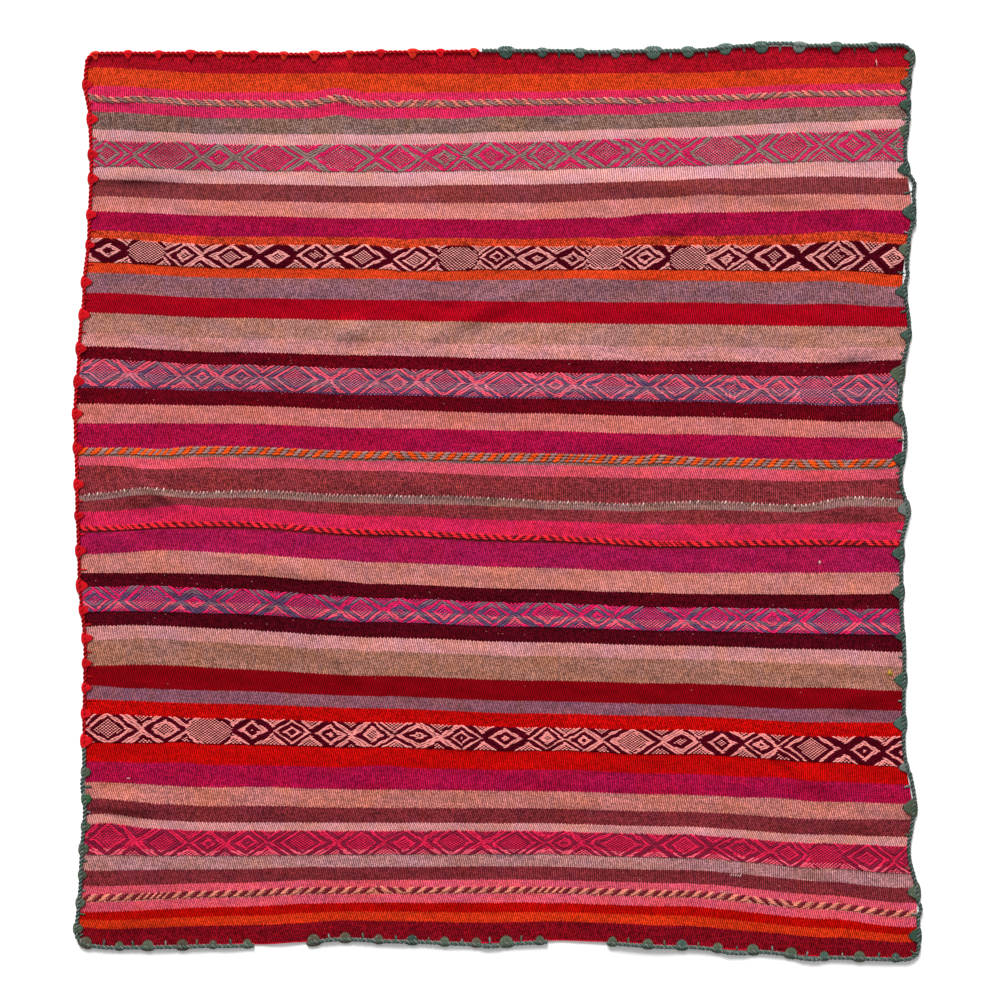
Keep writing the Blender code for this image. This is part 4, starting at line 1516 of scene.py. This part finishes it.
@dataclass
class Braid:
    """A narrow stripe of long slanted floats that change dye from block to block, like a braid."""

    name: str
    start: float
    width: float
    first: Dye
    second: Dye
    seed: int
    block: tuple[float, float]
    high: float
    lean: float

    def gather(self) -> FloatSet:
        """Places the floats, three to a block, with a short plain or turned run between the long ones.

        Returns:
            The floats of the braid.
        """
        floats = FloatSet(self.name)
        dice = random.Random(self.seed)
        along, number, way, left, scale = 0.004, 0, 1.0, dice.randint(8, 22), 1.0
        row_step = self.high / 3.0
        while along < LENGTH - 0.006:
            long = self.block[number % 2] * dice.uniform(0.86, 1.14) * scale
            dye = self.second if number % 2 else self.first
            bold = dice.uniform(0.9, 1.15)
            for row in range(3):
                level = self.start - self.width * 0.5 + row_step * (1 - row) + dice.uniform(-0.0003, 0.0003)
                bright = bold * dice.uniform(0.82, 1.18)
                tint = tuple(value * bright for value in dye.albedo)
                shift = (row - 1) * math.copysign(0.0034, self.lean) * way
                place = min(max(along + long / 2.0 + shift, 0.008), LENGTH - 0.008)
                slant = -way * math.radians(self.lean + dice.uniform(-7.0, 7.0))
                floats.add(place, level, long * 1.16, row_step * 1.18, 0.0022, slant, tint)
            along += long
            number += 1
            left -= 1
            if left == 0:
                main = way == 1.0 and scale == 1.0
                turned = main and dice.random() < 0.4
                way = -1.0 if turned else 1.0
                scale = 0.55 if main and not turned else 1.0
                left = dice.randint(5, 9) if main else dice.randint(14, 34)
        return floats


class EdgePath:
    """The blanket's edge as a closed path that can be read at any distance along it."""

    def __init__(self, loop: list[Vector]) -> None:
        """Keeps the points and adds up the distances along them."""
        points = np.array([tuple(point) for point in loop])
        self.closed = np.concatenate([points, points[:1]])
        steps = np.linalg.norm(self.closed[1:] - points, axis=1)
        self.distances = np.concatenate([[0.0], np.cumsum(steps)])
        self.length = float(self.distances[-1])

    def point(self, distance: np.ndarray) -> np.ndarray:
        """The points at distances along the path."""
        distance = np.asarray(distance, dtype=float) % self.length
        return np.stack([np.interp(distance, self.distances, column) for column in self.closed.T], axis=-1)

    def outward(self, distance: np.ndarray) -> np.ndarray:
        """The level directions of unit length that lead away from the cloth."""
        ahead = self.point(np.asarray(distance) + 0.006) - self.point(np.asarray(distance) - 0.006)
        away = np.stack([-ahead[..., 1], ahead[..., 0], np.zeros(ahead.shape[:-1])], axis=-1)
        return away / np.linalg.norm(away, axis=-1, keepdims=True)

    def find(self, side: str, value: float) -> float:
        """Finds a place on the path.

        Args:
            side: the side of the blanket that it is on.
            value: its y, or its x at the top and bottom.

        Returns:
            Its distance along the path.
        """
        steps = np.arange(12000) * self.length / 12000
        places = self.point(steps)
        tests = {"left": places[:, 0] < 0.0, "right": places[:, 0] > 0.0,
                 "top": places[:, 1] > 0.7, "bottom": places[:, 1] < -0.7}
        read = places[:, 1] if side in ("left", "right") else places[:, 0]
        gap = np.where(tests[side], np.abs(read - value), 1e9)
        return float(steps[int(np.argmin(gap))])

    def between(self, first: tuple[str, float], last: tuple[str, float]) -> tuple[float, float]:
        """Where a stretch from one side and place to another starts and stops, the stop always further on."""
        start, stop = self.find(*first), self.find(*last)
        return start, stop + self.length if stop < start else stop


class Ply(Enum):
    """The two yarns of an edging."""

    RED = "red"
    GREEN = "green"


@dataclass(frozen=True)
class Span:
    """One length of edging: its name, its yarn and where it starts and stops, clockwise from above."""

    name: str
    ply: Ply
    start: tuple[str, float]
    stop: tuple[str, float]


@dataclass(frozen=True)
class Knot:
    """One knot of the edging: where it is along the path, its size, its dye and whether it is pointed."""

    where: float
    size: float
    dye: Dye
    sharp: bool


@dataclass
class Edging:
    """The worked edging: a twisted cord along the edge, its knots and straight stitches between them."""

    path: EdgePath
    repeater: Repeater

    SPANS = (
        Span("edging_red", Ply.RED, ("left", -0.436), ("top", -0.030)),
        Span("edging_green_right", Ply.GREEN, ("top", -0.026), ("bottom", 0.197)),
        Span("edging_green_middle", Ply.GREEN, ("bottom", 0.091), ("bottom", -0.341)),
        Span("edging_green_left", Ply.GREEN, ("bottom", -0.437), ("left", -0.441)),
    )
    # The knots: part, side, first and last place along that side, number of knots, size.
    KNOT_RUNS = (
        ("edging_red", "left", -0.430, -0.151, 7, 1.08),
        ("edging_red", "left", -0.088, 0.581, 12, 1.12),
        ("edging_red", "left", 0.624, 0.750, 3, 1.15),
        ("edging_red", "top", -0.723, -0.041, 13, 0.92),
        ("edging_green_right", "top", 0.017, 0.677, 11, 1.18),
        ("edging_green_right", "right", 0.800, 0.667, 4, 1.15),
        ("edging_green_right", "right", 0.599, 0.077, 8, 1.20),
        ("edging_green_right", "right", -0.013, -0.549, 8, 1.15),
        ("edging_green_right", "right", -0.701, -0.780, 2, 1.10),
        ("edging_green_right", "bottom", 0.717, 0.208, 9, 1.02),
        ("edging_green_middle", "bottom", 0.078, -0.329, 8, 1.02),
        ("edging_green_left", "bottom", -0.448, -0.739, 6, 0.98),
        ("edging_green_left", "left", -0.767, -0.486, 7, 0.88),
    )
    # The dyes of the knots of each part, by side.
    PALETTES = {
        ("edging_red", "top"): (Dye.EDGE_RED, Dye.EDGE_BRIGHT, Dye.EDGE_BRIGHT),
        ("edging_green_right", "top"): (Dye.EDGE_MOSS, Dye.EDGE_MOSS, Dye.EDGE_TEAL, Dye.EDGE_GREY),
        ("edging_green_right", "right"): (Dye.EDGE_DEEP, Dye.EDGE_TEAL, Dye.EDGE_GREY, Dye.EDGE_OLIVE),
        ("edging_green_right", "bottom"): (Dye.EDGE_TEAL, Dye.EDGE_OLIVE, Dye.EDGE_DEEP),
        ("edging_green_middle", "bottom"): (Dye.EDGE_DRAB, Dye.EDGE_DEEP, Dye.EDGE_OLIVE),
        ("edging_green_left", "bottom"): (Dye.EDGE_DRAB, Dye.EDGE_OLIVE),
        ("edging_green_left", "left"): (Dye.EDGE_GREEN, Dye.EDGE_OLIVE),
    }
    # The knots' shapes: name, strands, half length, reach out, reach over the cloth, height, strand, spread.
    FANS = (
        ("red_fan", 11, 0.0112, 0.0078, 0.0138, 0.0068, 0.0014, 0.10),
        ("green_fan", 9, 0.0122, 0.0092, 0.0122, 0.0068, 0.0016, 0.55),
        ("sharp_fan", 11, 0.0138, 0.0080, 0.0150, 0.0066, 0.0016, 0.08),
    )
    # Where the right-hand cord stands off the cloth: y, by how much. SLACK_REACH is half the place's length.
    LOOSE = ((0.691, 0.0038), (0.570, 0.0052), (0.504, 0.0054), (0.410, 0.0034), (0.201, 0.0038),
             (-0.731, 0.0052))
    SLACK_REACH = 0.017

    def knots(self) -> dict[str, list[Knot]]:
        """Places the knots.

        Returns:
            The knots of each length of edging, by its name.
        """
        dice = random.Random(11)
        places: dict[str, list[Knot]] = {}
        for part, side, first, last, count, size in self.KNOT_RUNS:
            start, stop = self.path.between((side, first), (side, last))
            for number in range(count):
                where = start + (stop - start) * number / (count - 1)
                if 0 < number < count - 1:
                    where += dice.uniform(-0.004, 0.004)
                dye = dice.choice(self.PALETTES.get((part, side), (Dye.EDGE_RED,)))
                sharp = part == "edging_green_right" and side == "right"
                places.setdefault(part, []).append(Knot(where, size * dice.uniform(0.80, 1.25), dye, sharp))
        return places

    def lay(self, name: str, shape: bpy.types.Object, places: np.ndarray, sizes: np.ndarray,
            tints: np.ndarray, finish: bpy.types.Material, seed: int) -> bpy.types.Object:
        """Lays knots over the edge.

        Args:
            name: the name of what is laid.
            shape: one knot, with its y away from the cloth.
            places: the distance of each knot along the path.
            sizes: the scale of each knot along its own axes.
            tints: the linear colour of each knot.
            finish: their material.
            seed: the seed of their unevenness.

        Returns:
            The knots as one object.
        """
        here, away = self.path.point(places), self.path.outward(places)
        aims = np.zeros((len(places), 3))
        aims[:, 2] = np.arctan2(away[:, 1], away[:, 0]) - math.pi / 2.0
        return self.repeater.lay(name, shape, here, aims, sizes, tints, finish, 0.06, seed)

    def line(self, span: Span, knots: list[Knot], radius: float) -> np.ndarray:
        """The line that the cord follows, slack between some of the knots.

        Args:
            span: the length of edging.
            knots: its knots.
            radius: the radius of one ply.

        Returns:
            Its points, as rows of x, y and z.
        """
        red = span.ply is Ply.RED
        start, stop = self.path.between(span.start, span.stop)
        places = np.arange(start + 0.0005, stop - 0.0005, 0.003)
        here, away = self.path.point(places), self.path.outward(places)
        spots = np.sort(np.array([knot.where for knot in knots]))
        lap = self.path.length
        apart = np.min(np.abs((places[:, None] - spots[None, :] + lap / 2.0) % lap - lap / 2.0), axis=1)
        dice = random.Random(len(knots))
        loose = np.array([dice.choice((0.0, 0.0, 0.0004, 0.0020)) for _gap in range(len(spots) + 1)])
        slack = 0.0002 if red else loose[np.searchsorted(spots, places)]
        slack = slack * (1.0 - np.cos(np.clip(apart / self.SLACK_REACH, 0.0, 1.0) * math.pi))
        if span.name == "edging_green_right":
            for level, by in self.LOOSE:
                near = np.clip(np.abs(here[:, 1] - level) / self.SLACK_REACH, 0.0, 1.0)
                slack = slack + np.where(here[:, 0] > 0.7, by * 0.5 * (1.0 + np.cos(math.pi * near)), 0.0)
        points = here + away * ((0.0004 if red else 0.0014) + slack)[:, None]
        points[:, 2] += 2.0 * radius + 0.0001
        return points

    def cord(self, span: Span, knots: list[Knot], finish: bpy.types.Material) -> bpy.types.Object:
        """Twists the cord along the edge by Geometry Nodes.

        Args:
            span: the length of edging.
            knots: its knots.
            finish: its material.

        Returns:
            The cord, duller on the right side and in the lower half.
        """
        red = span.ply is Ply.RED
        radius, twist = (0.0019, 0.0170) if red else (0.0021, 0.0150)
        dyes = (Dye.EDGE_WINE, Dye.EDGE_RED) if red else (Dye.EDGE_GREY, Dye.EDGE_MOSS)
        points = self.line(span, knots, radius)
        mesh = bpy.data.meshes.new(span.name + "_line")
        mesh.from_pydata(points.tolist(), [(index, index + 1) for index in range(len(points) - 1)], [])
        values = {"Ply Radius": radius, "Twist": twist, "Finish": finish}
        cord = bake(span.name + "_cord", mesh, self.twist_tree(span.name, dyes), values)
        places = np.array([vertex.co[:] for vertex in cord.data.vertices])
        tints = cord.data.attributes["tint"].data
        colours = np.empty(len(places) * 4)
        tints.foreach_get("color", colours)
        dull = np.where(places[:, 0] > 0.70, 0.62, np.where(places[:, 1] < 0.0, 0.72, 1.0))
        tints.foreach_set("color", (colours.reshape(-1, 4) * dull[:, None]).ravel())
        return cord

    @staticmethod
    def twist_tree(name: str, dyes: tuple[Dye, Dye]) -> bpy.types.NodeTree:
        """Builds the nodes that twist two plies round a line.

        Args:
            name: the name of the length of edging.
            dyes: the dye of each ply.

        Returns:
            The nodes.
        """
        board = Board.group(name + "_twist", {"Line": "Geometry", "Ply Radius": "Float", "Twist": "Float",
                                              "Finish": "Material"}, "Cord")
        given = board.node("NodeGroupInput").outputs
        line = board.node("GeometryNodeMeshToCurve", {0: given["Line"]})
        spacing = {"Curve": line.outputs[0], "Length": 0.0016}
        fine = board.node("GeometryNodeResampleCurve", spacing, mode="LENGTH")
        measure = Number(board, board.node("GeometryNodeSplineParameter").outputs["Length"])
        normal = board.node("GeometryNodeInputNormal").outputs[0]
        tangent = board.node("GeometryNodeInputTangent").outputs[0]
        ring = {"Resolution": 5, "Radius": given["Ply Radius"]}
        profile = board.node("GeometryNodeCurvePrimitiveCircle", ring, mode="RADIUS")
        joined = board.node("GeometryNodeJoinGeometry")
        for phase, dye in zip((0.0, math.pi), dyes):
            angle = measure / given["Twist"] * (2.0 * math.pi) + phase
            spun = board.node("ShaderNodeVectorRotate", {"Vector": normal, "Axis": tangent, "Angle": angle},
                              rotation_type="AXIS_ANGLE")
            offset = board.vector("SCALE", spun.outputs[0], scale=given["Ply Radius"])
            moved = board.node("GeometryNodeSetPosition", {"Geometry": fine.outputs[0], "Offset": offset})
            tinted = board.node("GeometryNodeStoreNamedAttribute",
                                {"Geometry": moved.outputs[0], "Name": "tint"},
                                data_type="FLOAT_COLOR", domain="POINT")
            value = next(item for item in tinted.inputs if item.name == "Value" and item.enabled)
            board.put(value, rgba(dye.albedo))
            swept = board.node("GeometryNodeCurveToMesh", {"Curve": tinted.outputs[0], "Fill Caps": True,
                                                           "Profile Curve": profile.outputs[0]})
            board.put(joined.inputs[0], swept.outputs[0])
        smooth = board.node("GeometryNodeSetShadeSmooth", {"Geometry": joined.outputs[0]})
        board.hand_out(smooth.outputs[0], given["Finish"])
        return board.tree

    def build(self) -> list[bpy.types.Object]:
        """Builds every length of edging, each in place of its own solid.

        Returns:
            The pieces.
        """
        red_yarn = SpunYarn("red_edging_yarn", 0.6, 520.0).material()
        green_yarn = SpunYarn("green_edging_yarn", 0.9, 520.0, Dye.EDGE_GREY.albedo, 0.22).material()
        red_fan, green_fan, sharp_fan = (SmallShape.fan(*sizes) for sizes in self.FANS)
        bar = SmallShape.grain("bar", 6)
        pieces = []
        dice = random.Random(23)
        all_knots = self.knots()
        for number, span in enumerate(self.SPANS):
            red = span.ply is Ply.RED
            knots = all_knots[span.name]
            yarn, fan = (red_yarn, red_fan) if red else (green_yarn, green_fan)
            cord = self.cord(span, knots, yarn)
            where = np.array([knot.where for knot in knots])
            size = np.array([[knot.size, 0.5 + 0.5 * knot.size, 1.0] for knot in knots])
            bright = np.array([dice.uniform(0.85, 1.2) for _knot in knots])
            tints = np.array([knot.dye.albedo for knot in knots]) * bright[:, None]
            sharp = np.array([knot.sharp for knot in knots])
            loose = [self.stitches(span, knots, bar, yarn, dice)]
            for form, chosen in ((fan, ~sharp), (sharp_fan, sharp)):
                if chosen.any():
                    loose.append(self.lay(f"{span.name}_{form.name}", form, where[chosen], size[chosen],
                                          tints[chosen], yarn, 40 + number))
            whole = self.join(span.name + "_yarn", [cord] + loose, yarn)
            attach(whole, "root")
            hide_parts(span.name)
            pieces.append(whole)
            log.info("%s: %d knots, %d faces", whole.name, len(knots), len(whole.data.polygons))
        for shape in (red_fan, green_fan, sharp_fan, bar):
            drop(shape)
        return pieces

    def stitches(self, span: Span, knots: list[Knot], bar: bpy.types.Object,
                 yarn: bpy.types.Material, dice: random.Random) -> bpy.types.Object:
        """Lays the straight stitches, one or two between each two knots.

        Args:
            span: the length of edging.
            knots: its knots.
            bar: the shape of a stitch.
            yarn: the stitches' material.
            dice: where the draws come from.

        Returns:
            The stitches as one object.
        """
        rows = []
        red = span.ply is Ply.RED
        for before, after in zip(knots, knots[1:]):
            gap = (after.where - before.where) % self.path.length
            for share in (0.5,) if gap < 0.085 else (0.34, 0.66):
                rows.append(before.where + gap * (share + dice.uniform(-0.06, 0.06)))
        places = np.array(rows)
        here, away = self.path.point(places), self.path.outward(places)
        shortest, longest = (0.013, 0.018) if red else (0.012, 0.017)
        reach = np.array([dice.uniform(shortest, longest) for _row in rows])
        points = here - away * (reach * 0.5 - 0.0045)[:, None]
        points[:, 2] += CLOTH + 0.0008
        aims = np.zeros((len(rows), 3))
        lean = np.array([dice.uniform(-0.18, 0.18) for _row in rows])
        aims[:, 2] = np.arctan2(away[:, 1], away[:, 0]) + lean
        wide, high = np.full(len(rows), 0.0028 if red else 0.0038), np.full(len(rows), 0.0026)
        sizes = np.stack([reach, wide, high], axis=1)
        palette = (Dye.EDGE_RED,) if red else (Dye.EDGE_GREY, Dye.EDGE_TEAL, Dye.EDGE_OLIVE)
        tints = np.array([dice.choice(palette).albedo for _row in rows])
        return self.repeater.lay(span.name + "_stitches", bar, points, aims, sizes, tints, yarn, 0.1, 71)

    @staticmethod
    def join(name: str, parts: list[bpy.types.Object], finish: bpy.types.Material) -> bpy.types.Object:
        """Joins parts of one material into one piece, with their tints and painted shades.

        Args:
            name: the piece's name.
            parts: the parts, which are taken out of the file.
            finish: the material.

        Returns:
            The piece.
        """
        points, faces, tints, shades = [], [], [], []
        base = 0
        for part in parts:
            mesh = part.data
            count = len(mesh.vertices)
            place = np.empty(count * 3, dtype=np.float32)
            mesh.vertices.foreach_get("co", place)
            tint = np.ones(count * 4, dtype=np.float32)
            mesh.attributes["tint"].data.foreach_get("color", tint)
            shade = np.full(count, 1.0, dtype=np.float32)
            if "shade" in mesh.attributes:
                mesh.attributes["shade"].data.foreach_get("value", shade)
            points.append(place.reshape(-1, 3))
            tints.append(tint)
            shades.append(shade)
            faces += [tuple(corner + base for corner in face.vertices) for face in mesh.polygons]
            base += count
        whole = bpy.data.meshes.new(name)
        whole.from_pydata(np.concatenate(points).tolist(), [], faces)
        carry(whole, "tint", "FLOAT_COLOR", np.concatenate(tints))
        carry(whole, "shade", "FLOAT", np.concatenate(shades))
        whole.shade_smooth()
        whole.materials.append(finish)
        for part in parts:
            drop(part)
        return link(name, whole)


@dataclass
class SeamStitches:
    """The pale whip stitches that hold the two panels together."""

    pitch: float = 0.0071
    reach: float = 0.0068
    wide: float = 0.0026
    high: float = 0.0020
    end: float = 0.015
    below: float = 0.0012

    def build(self, repeater: Repeater) -> bpy.types.Object:
        """Lays the stitches along the seam, in place of the CAD's strand.

        Args:
            repeater: the nodes that lay them.

        Returns:
            The piece.
        """
        dice = random.Random(31)
        count = int((LENGTH - 2.0 * self.end) / self.pitch)
        along = np.array([self.end + self.pitch * (number + dice.uniform(-0.15, 0.15))
                          for number in range(count)])
        level = np.full(count, Lie.SEAM_LEVEL - self.below)
        here = Lie.top(along / LENGTH, level)
        ahead = Lie.top(along / LENGTH + STEP, level) - here
        right = Lie.top(along / LENGTH, level + STEP) - here
        slant = np.array([math.radians(90.0 + dice.uniform(-22.0, 6.0)) for _stitch in along])
        here[:, 2] += 0.0007
        long = np.array([self.reach * dice.uniform(0.8, 1.2) for _stitch in along])
        sizes = np.stack([long, np.full(count, self.wide), np.full(count, self.high)], axis=1)
        dyes = (Dye.PALE_PINK, Dye.LIGHT_PINK, Dye.LIGHT_PINK, Dye.SEAM_TAUPE)
        tints = np.array([dice.choice(dyes).albedo for _stitch in along])
        shape = SmallShape.grain("whip", 6)
        yarn = SpunYarn("seam_yarn_finish", 0.5, 500.0).material()
        aims = turns(ahead, right, slant)
        piece = repeater.lay("seam_stitches", shape, here, aims, sizes, tints, yarn, 0.08, 5)
        drop(shape)
        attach(piece, "root")
        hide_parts("join_stitching")
        log.info("%s: %d stitches", piece.name, count)
        return piece


@dataclass
class WovenWork:
    """The worked stripes of both panels and the small flecks on the dark ones."""

    repeater: Repeater

    # The darns and snags: name, x, y, dye, length, direction in degrees, threads, how far apart they are.
    MARKS = (
        ("yellow darn", 0.707, -0.308, Dye.STRAW, 0.0130, 80.0, 3, 0.0022),
        ("yellow cross thread", 0.707, -0.308, Dye.STRAW, 0.0120, 0.0, 1, 0.0),
        ("pink snag in the purple stripe", 0.581, -0.109, Dye.PALE_PINK, 0.0070, 84.0, 2, 0.0018),
        ("pale nick at the upper right", 0.683, 0.789, Dye.PALE_PINK, 0.0130, 96.0, 1, 0.0),
        ("loose slate yarn over the third band", -0.087, 0.235, Dye.SLATE, 0.0130, -52.0, 1, 0.0),
        ("pink darn over the last braid", 0.413, -0.703, Dye.LIGHT_PINK, 0.0070, 74.0, 7, 0.0034),
        ("white nick at the lower left", -0.662, -0.497, Dye.PALE_PINK, 0.0060, 5.0, 1, 0.0),
        ("dark snag on the seam", 0.538, -0.012, Dye.BRAID_BROWN, 0.0075, 70.0, 2, 0.0016),
        ("pale darn in the rose stripe", 0.430, -0.672, Dye.PALE_PINK, 0.0060, 60.0, 5, 0.0040),
    )
    # The braids by first dye: the length of each dye's block, the height of all rows, their lean in degrees.
    BRAIDS = {
        Dye.BRAID_TAUPE: ((0.0150, 0.0104), 0.0098, 17.0),
        Dye.BRAID_ORANGE: ((0.0126, 0.0114), 0.0134, -14.0),
        Dye.BRAID_RED: ((0.0112, 0.0054), 0.0094, 12.0),
        Dye.BRAID_BROWN: ((0.0102, 0.0118), 0.0096, -20.0),
    }
    # How many pale flecks a stripe of each dark dye carries.
    FLECKS = {Dye.MAROON: 20, Dye.OXBLOOD: 20, Dye.BROWN: 10, Dye.CHESTNUT: 10, Dye.BROWN_RED: 8,
              Dye.DARK_RED: 5}
    # The words of the bands without maroon, whose two dyes are closer to each other.
    SOFT_MOTIFS = ("AABBBAAABBBxxxxx", "AABBAAABBxxxxxxx", "AABBBAAxxxxxx", "BBAAABBBAAxxxxxx",
                   "AAABBBxxxxxxx")
    SOFT_FILLERS = ("AABBBxxxxxx", "BBAAAxxxxxx", "AABBxxxxxx", "BBAAxxxxxxx", "BAAxxxxxxxx")

    def build(self) -> dict[bool, list[bpy.types.Object]]:
        """Builds the bands, braids and flecks.

        Returns:
            The pieces of the upper panel under True and those of the lower panel under False.
        """
        grain = SmallShape.grain("float", 5)
        finish = SpunYarn("float_yarn", 0.55, 460.0).material()
        pieces: dict[bool, list[bpy.types.Object]] = {True: [], False: []}
        for upper, stripes, level in ((True, UPPER_STRIPES, Lie.TOP_LEVEL),
                                      (False, LOWER_STRIPES, Lie.SEAM_LEVEL)):
            panel = "upper" if upper else "lower"
            for number, stripe in enumerate(stripes):
                if stripe.work is Work.DIAMONDS:
                    lights, darks = self.families(stripe)
                    band = DiamondBand(f"{panel}_band_{number}", level, stripe.width, lights, darks,
                                       100 + number)
                    if stripe.other is not Dye.NIGHT_MAROON:
                        band.motifs, band.fillers = self.SOFT_MOTIFS, self.SOFT_FILLERS
                        band.steep, band.wide, band.checked = (0.92, 1.18), 0.72, 0.07
                    pieces[upper].append(self.finish(band.gather(), grain, finish, upper, number))
                elif stripe.work is Work.BRAID:
                    braid = Braid(f"{panel}_braid_{number}", level, stripe.width, stripe.dye, stripe.other,
                                  200 + number, *self.BRAIDS[stripe.dye])
                    pieces[upper].append(self.finish(braid.gather(), grain, finish, upper, number))
                level -= stripe.width
            pieces[upper].append(self.finish(self.flecks(panel, upper, stripes), grain, finish, upper, 9))
            pieces[upper].append(self.finish(self.marks(panel, upper), grain, finish, upper, 10))
        drop(grain)
        return pieces

    @staticmethod
    def families(stripe: Stripe) -> tuple[tuple[Dye, ...], tuple[Dye, ...]]:
        """Chooses the yarns of a band of diamonds.

        Args:
            stripe: the band's stripe.

        Returns:
            Its light yarns and its dark ones, each from the band's top to its foot.
        """
        if stripe.other is Dye.SLATE:
            slates = (Dye.FLOAT_GREY, Dye.SLATE, Dye.FLOAT_GREY, Dye.SLATE)
            if stripe.dye is Dye.FLOAT_CORAL:
                return (Dye.FLOAT_CORAL, Dye.FLOAT_CORAL, Dye.FLOAT_ROSE, Dye.FLOAT_CORAL), slates
            return (Dye.FLOAT_HOT, Dye.FLOAT_HOT, Dye.FLOAT_CORAL, Dye.FLOAT_HOT), slates
        if stripe.other is Dye.WINE:
            return (stripe.dye, stripe.dye, stripe.dye, Dye.FLOAT_CORAL), (Dye.WINE,)
        return (stripe.dye,), (stripe.other or stripe.dye,)

    def flecks(self, panel: str, upper: bool, stripes: tuple[Stripe, ...]) -> FloatSet:
        """Scatters pale bits of fibre over the dark stripes.

        Args:
            panel: the panel's word in names.
            upper: whether it is the upper panel.
            stripes: its stripes.

        Returns:
            The bits of fibre.
        """
        floats = FloatSet(f"{panel}_flecks")
        dice = random.Random(17 if upper else 18)
        level = Lie.TOP_LEVEL if upper else Lie.SEAM_LEVEL
        for stripe in stripes:
            for _fleck in range(self.FLECKS.get(stripe.dye, 0)):
                at = level - stripe.width * dice.uniform(0.1, 0.9)
                tint = dice.choice((Dye.LIGHT_PINK, Dye.SALMON, Dye.SALMON)).albedo
                size = dice.uniform(0.0016, 0.0034)
                along = dice.uniform(0.02, LENGTH - 0.02)
                floats.add(along, at, size, 0.0010, 0.0009, dice.uniform(0.0, 3.1), tint)
            level -= stripe.width
        return floats

    def marks(self, panel: str, upper: bool) -> FloatSet:
        """Lays the darns and snags that stand out on the cloth.

        Args:
            panel: the panel's word in names.
            upper: whether it is the upper panel.

        Returns:
            The threads of that panel's marks.
        """
        floats = FloatSet(f"{panel}_marks")
        for _name, x, y, dye, long, direction, count, apart in self.MARKS:
            along, level = Lie.find(x, y)
            if (level > Lie.SEAM_LEVEL) is not upper:
                continue
            for number in range(count):
                shift = apart * (number - (count - 1) / 2.0)
                tall = long * (1.0 - 0.25 * (number % 2))
                slant = math.radians(direction + 9.0 * (number % 3))
                floats.add(along + shift, level, tall, 0.0016, 0.0016, slant, dye.albedo)
        return floats

    def finish(self, floats: FloatSet, grain: bpy.types.Object, yarn: bpy.types.Material, upper: bool,
               seed: int) -> bpy.types.Object:
        """Args:
            floats: the floats.
            grain: the shape of one float.
            yarn: their material.
            upper: whether they are on the upper panel; not used.
            seed: the seed of their unevenness.

        Returns:
            The piece.
        """
        piece = floats.lay(self.repeater, grain, yarn, seed)
        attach(piece, "root")
        log.info("%s: %d floats, %d faces", piece.name, len(floats.rows), len(piece.data.polygons))
        return piece


@dataclass
class Studio:
    """The plain floor, the soft lights and the camera straight above."""

    height: float = 4.0
    field: float = 1.8
    centre: tuple[float, float] = (0.0060, 0.0033)
    floor_half: float = 6.0
    floor_drop: float = 0.0004
    sky: float = 0.56
    sun: float = 5.9
    sun_angle: float = 30.0
    sun_way: tuple[float, float, float] = (0.16, -0.84, -0.52)
    sensor: float = 36.0

    def build(self) -> None:
        """Builds them all."""
        self.lay_floor()
        self.hang_lights()
        self.set_camera()
        log.info("studio ready")

    def lay_floor(self) -> None:
        """Lays the floor just under the cloth."""
        half = self.floor_half
        mesh = bpy.data.meshes.new("floor")
        mesh.from_pydata([(-half, -half, 0.0), (half, -half, 0.0), (half, half, 0.0), (-half, half, 0.0)], [],
                         [(0, 1, 2, 3)])
        floor = link("floor", mesh)
        floor.location.z = -self.floor_drop
        mesh.materials.append(PaleFloor().material())
        floor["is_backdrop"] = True

    def hang_lights(self) -> None:
        """Lights the blanket by a white sky and a soft, low sun from beyond the upper panel."""
        world = bpy.data.worlds.new("soft_studio")
        world.use_nodes = True
        sky = world.node_tree.nodes["Background"]
        sky.inputs[0].default_value = (1.0, 1.0, 1.0, 1.0)
        sky.inputs[1].default_value = self.sky
        bpy.context.scene.world = world

        sun = bpy.data.lights.new("soft_key", "SUN")
        sun.energy = self.sun
        sun.angle = math.radians(self.sun_angle)
        lamp = link("soft_key", sun)
        lamp.rotation_euler = Vector(self.sun_way).to_track_quat("-Z", "Y").to_euler()

    def set_camera(self) -> None:
        """Sets the camera straight above the blanket."""
        camera = bpy.data.cameras.new("camera")
        camera.sensor_width = self.sensor
        camera.lens = self.sensor * self.height / self.field
        camera.dof.use_dof = False
        holder = link("camera", camera)
        holder.location = (*self.centre, self.height)
        bpy.context.scene.camera = holder
        bpy.context.scene.view_settings.view_transform = "Standard"


def main() -> None:
    """Builds the blanket piece by piece."""
    logging.basicConfig(level=logging.INFO, format="%(name)s: %(message)s")
    Studio().build()
    repeater = Repeater()
    work = WovenWork(repeater).build()
    loop: list[Vector] = []
    for panel in (Panel("upper_cloth", True, UPPER_STRIPES), Panel("lower_cloth", False, LOWER_STRIPES)):
        piece = panel.build()
        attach(piece, "root")
        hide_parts("panel_upper" if panel.upper else "panel_lower")
        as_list(work[panel.upper])
        loop += panel.outline() if panel.upper else panel.outline()[::-1][1:-1]
        log.info("%s: %d faces", piece.name, len(piece.data.polygons))
    SeamStitches().build(repeater)
    Edging(EdgePath(loop), repeater).build()
    boxes = {"cad": CAD_BOX, "visual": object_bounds()}
    {name: [list(map(float, corner)) for corner in box] for name, box in boxes.items()}


if __name__ == "__main__":
    main()
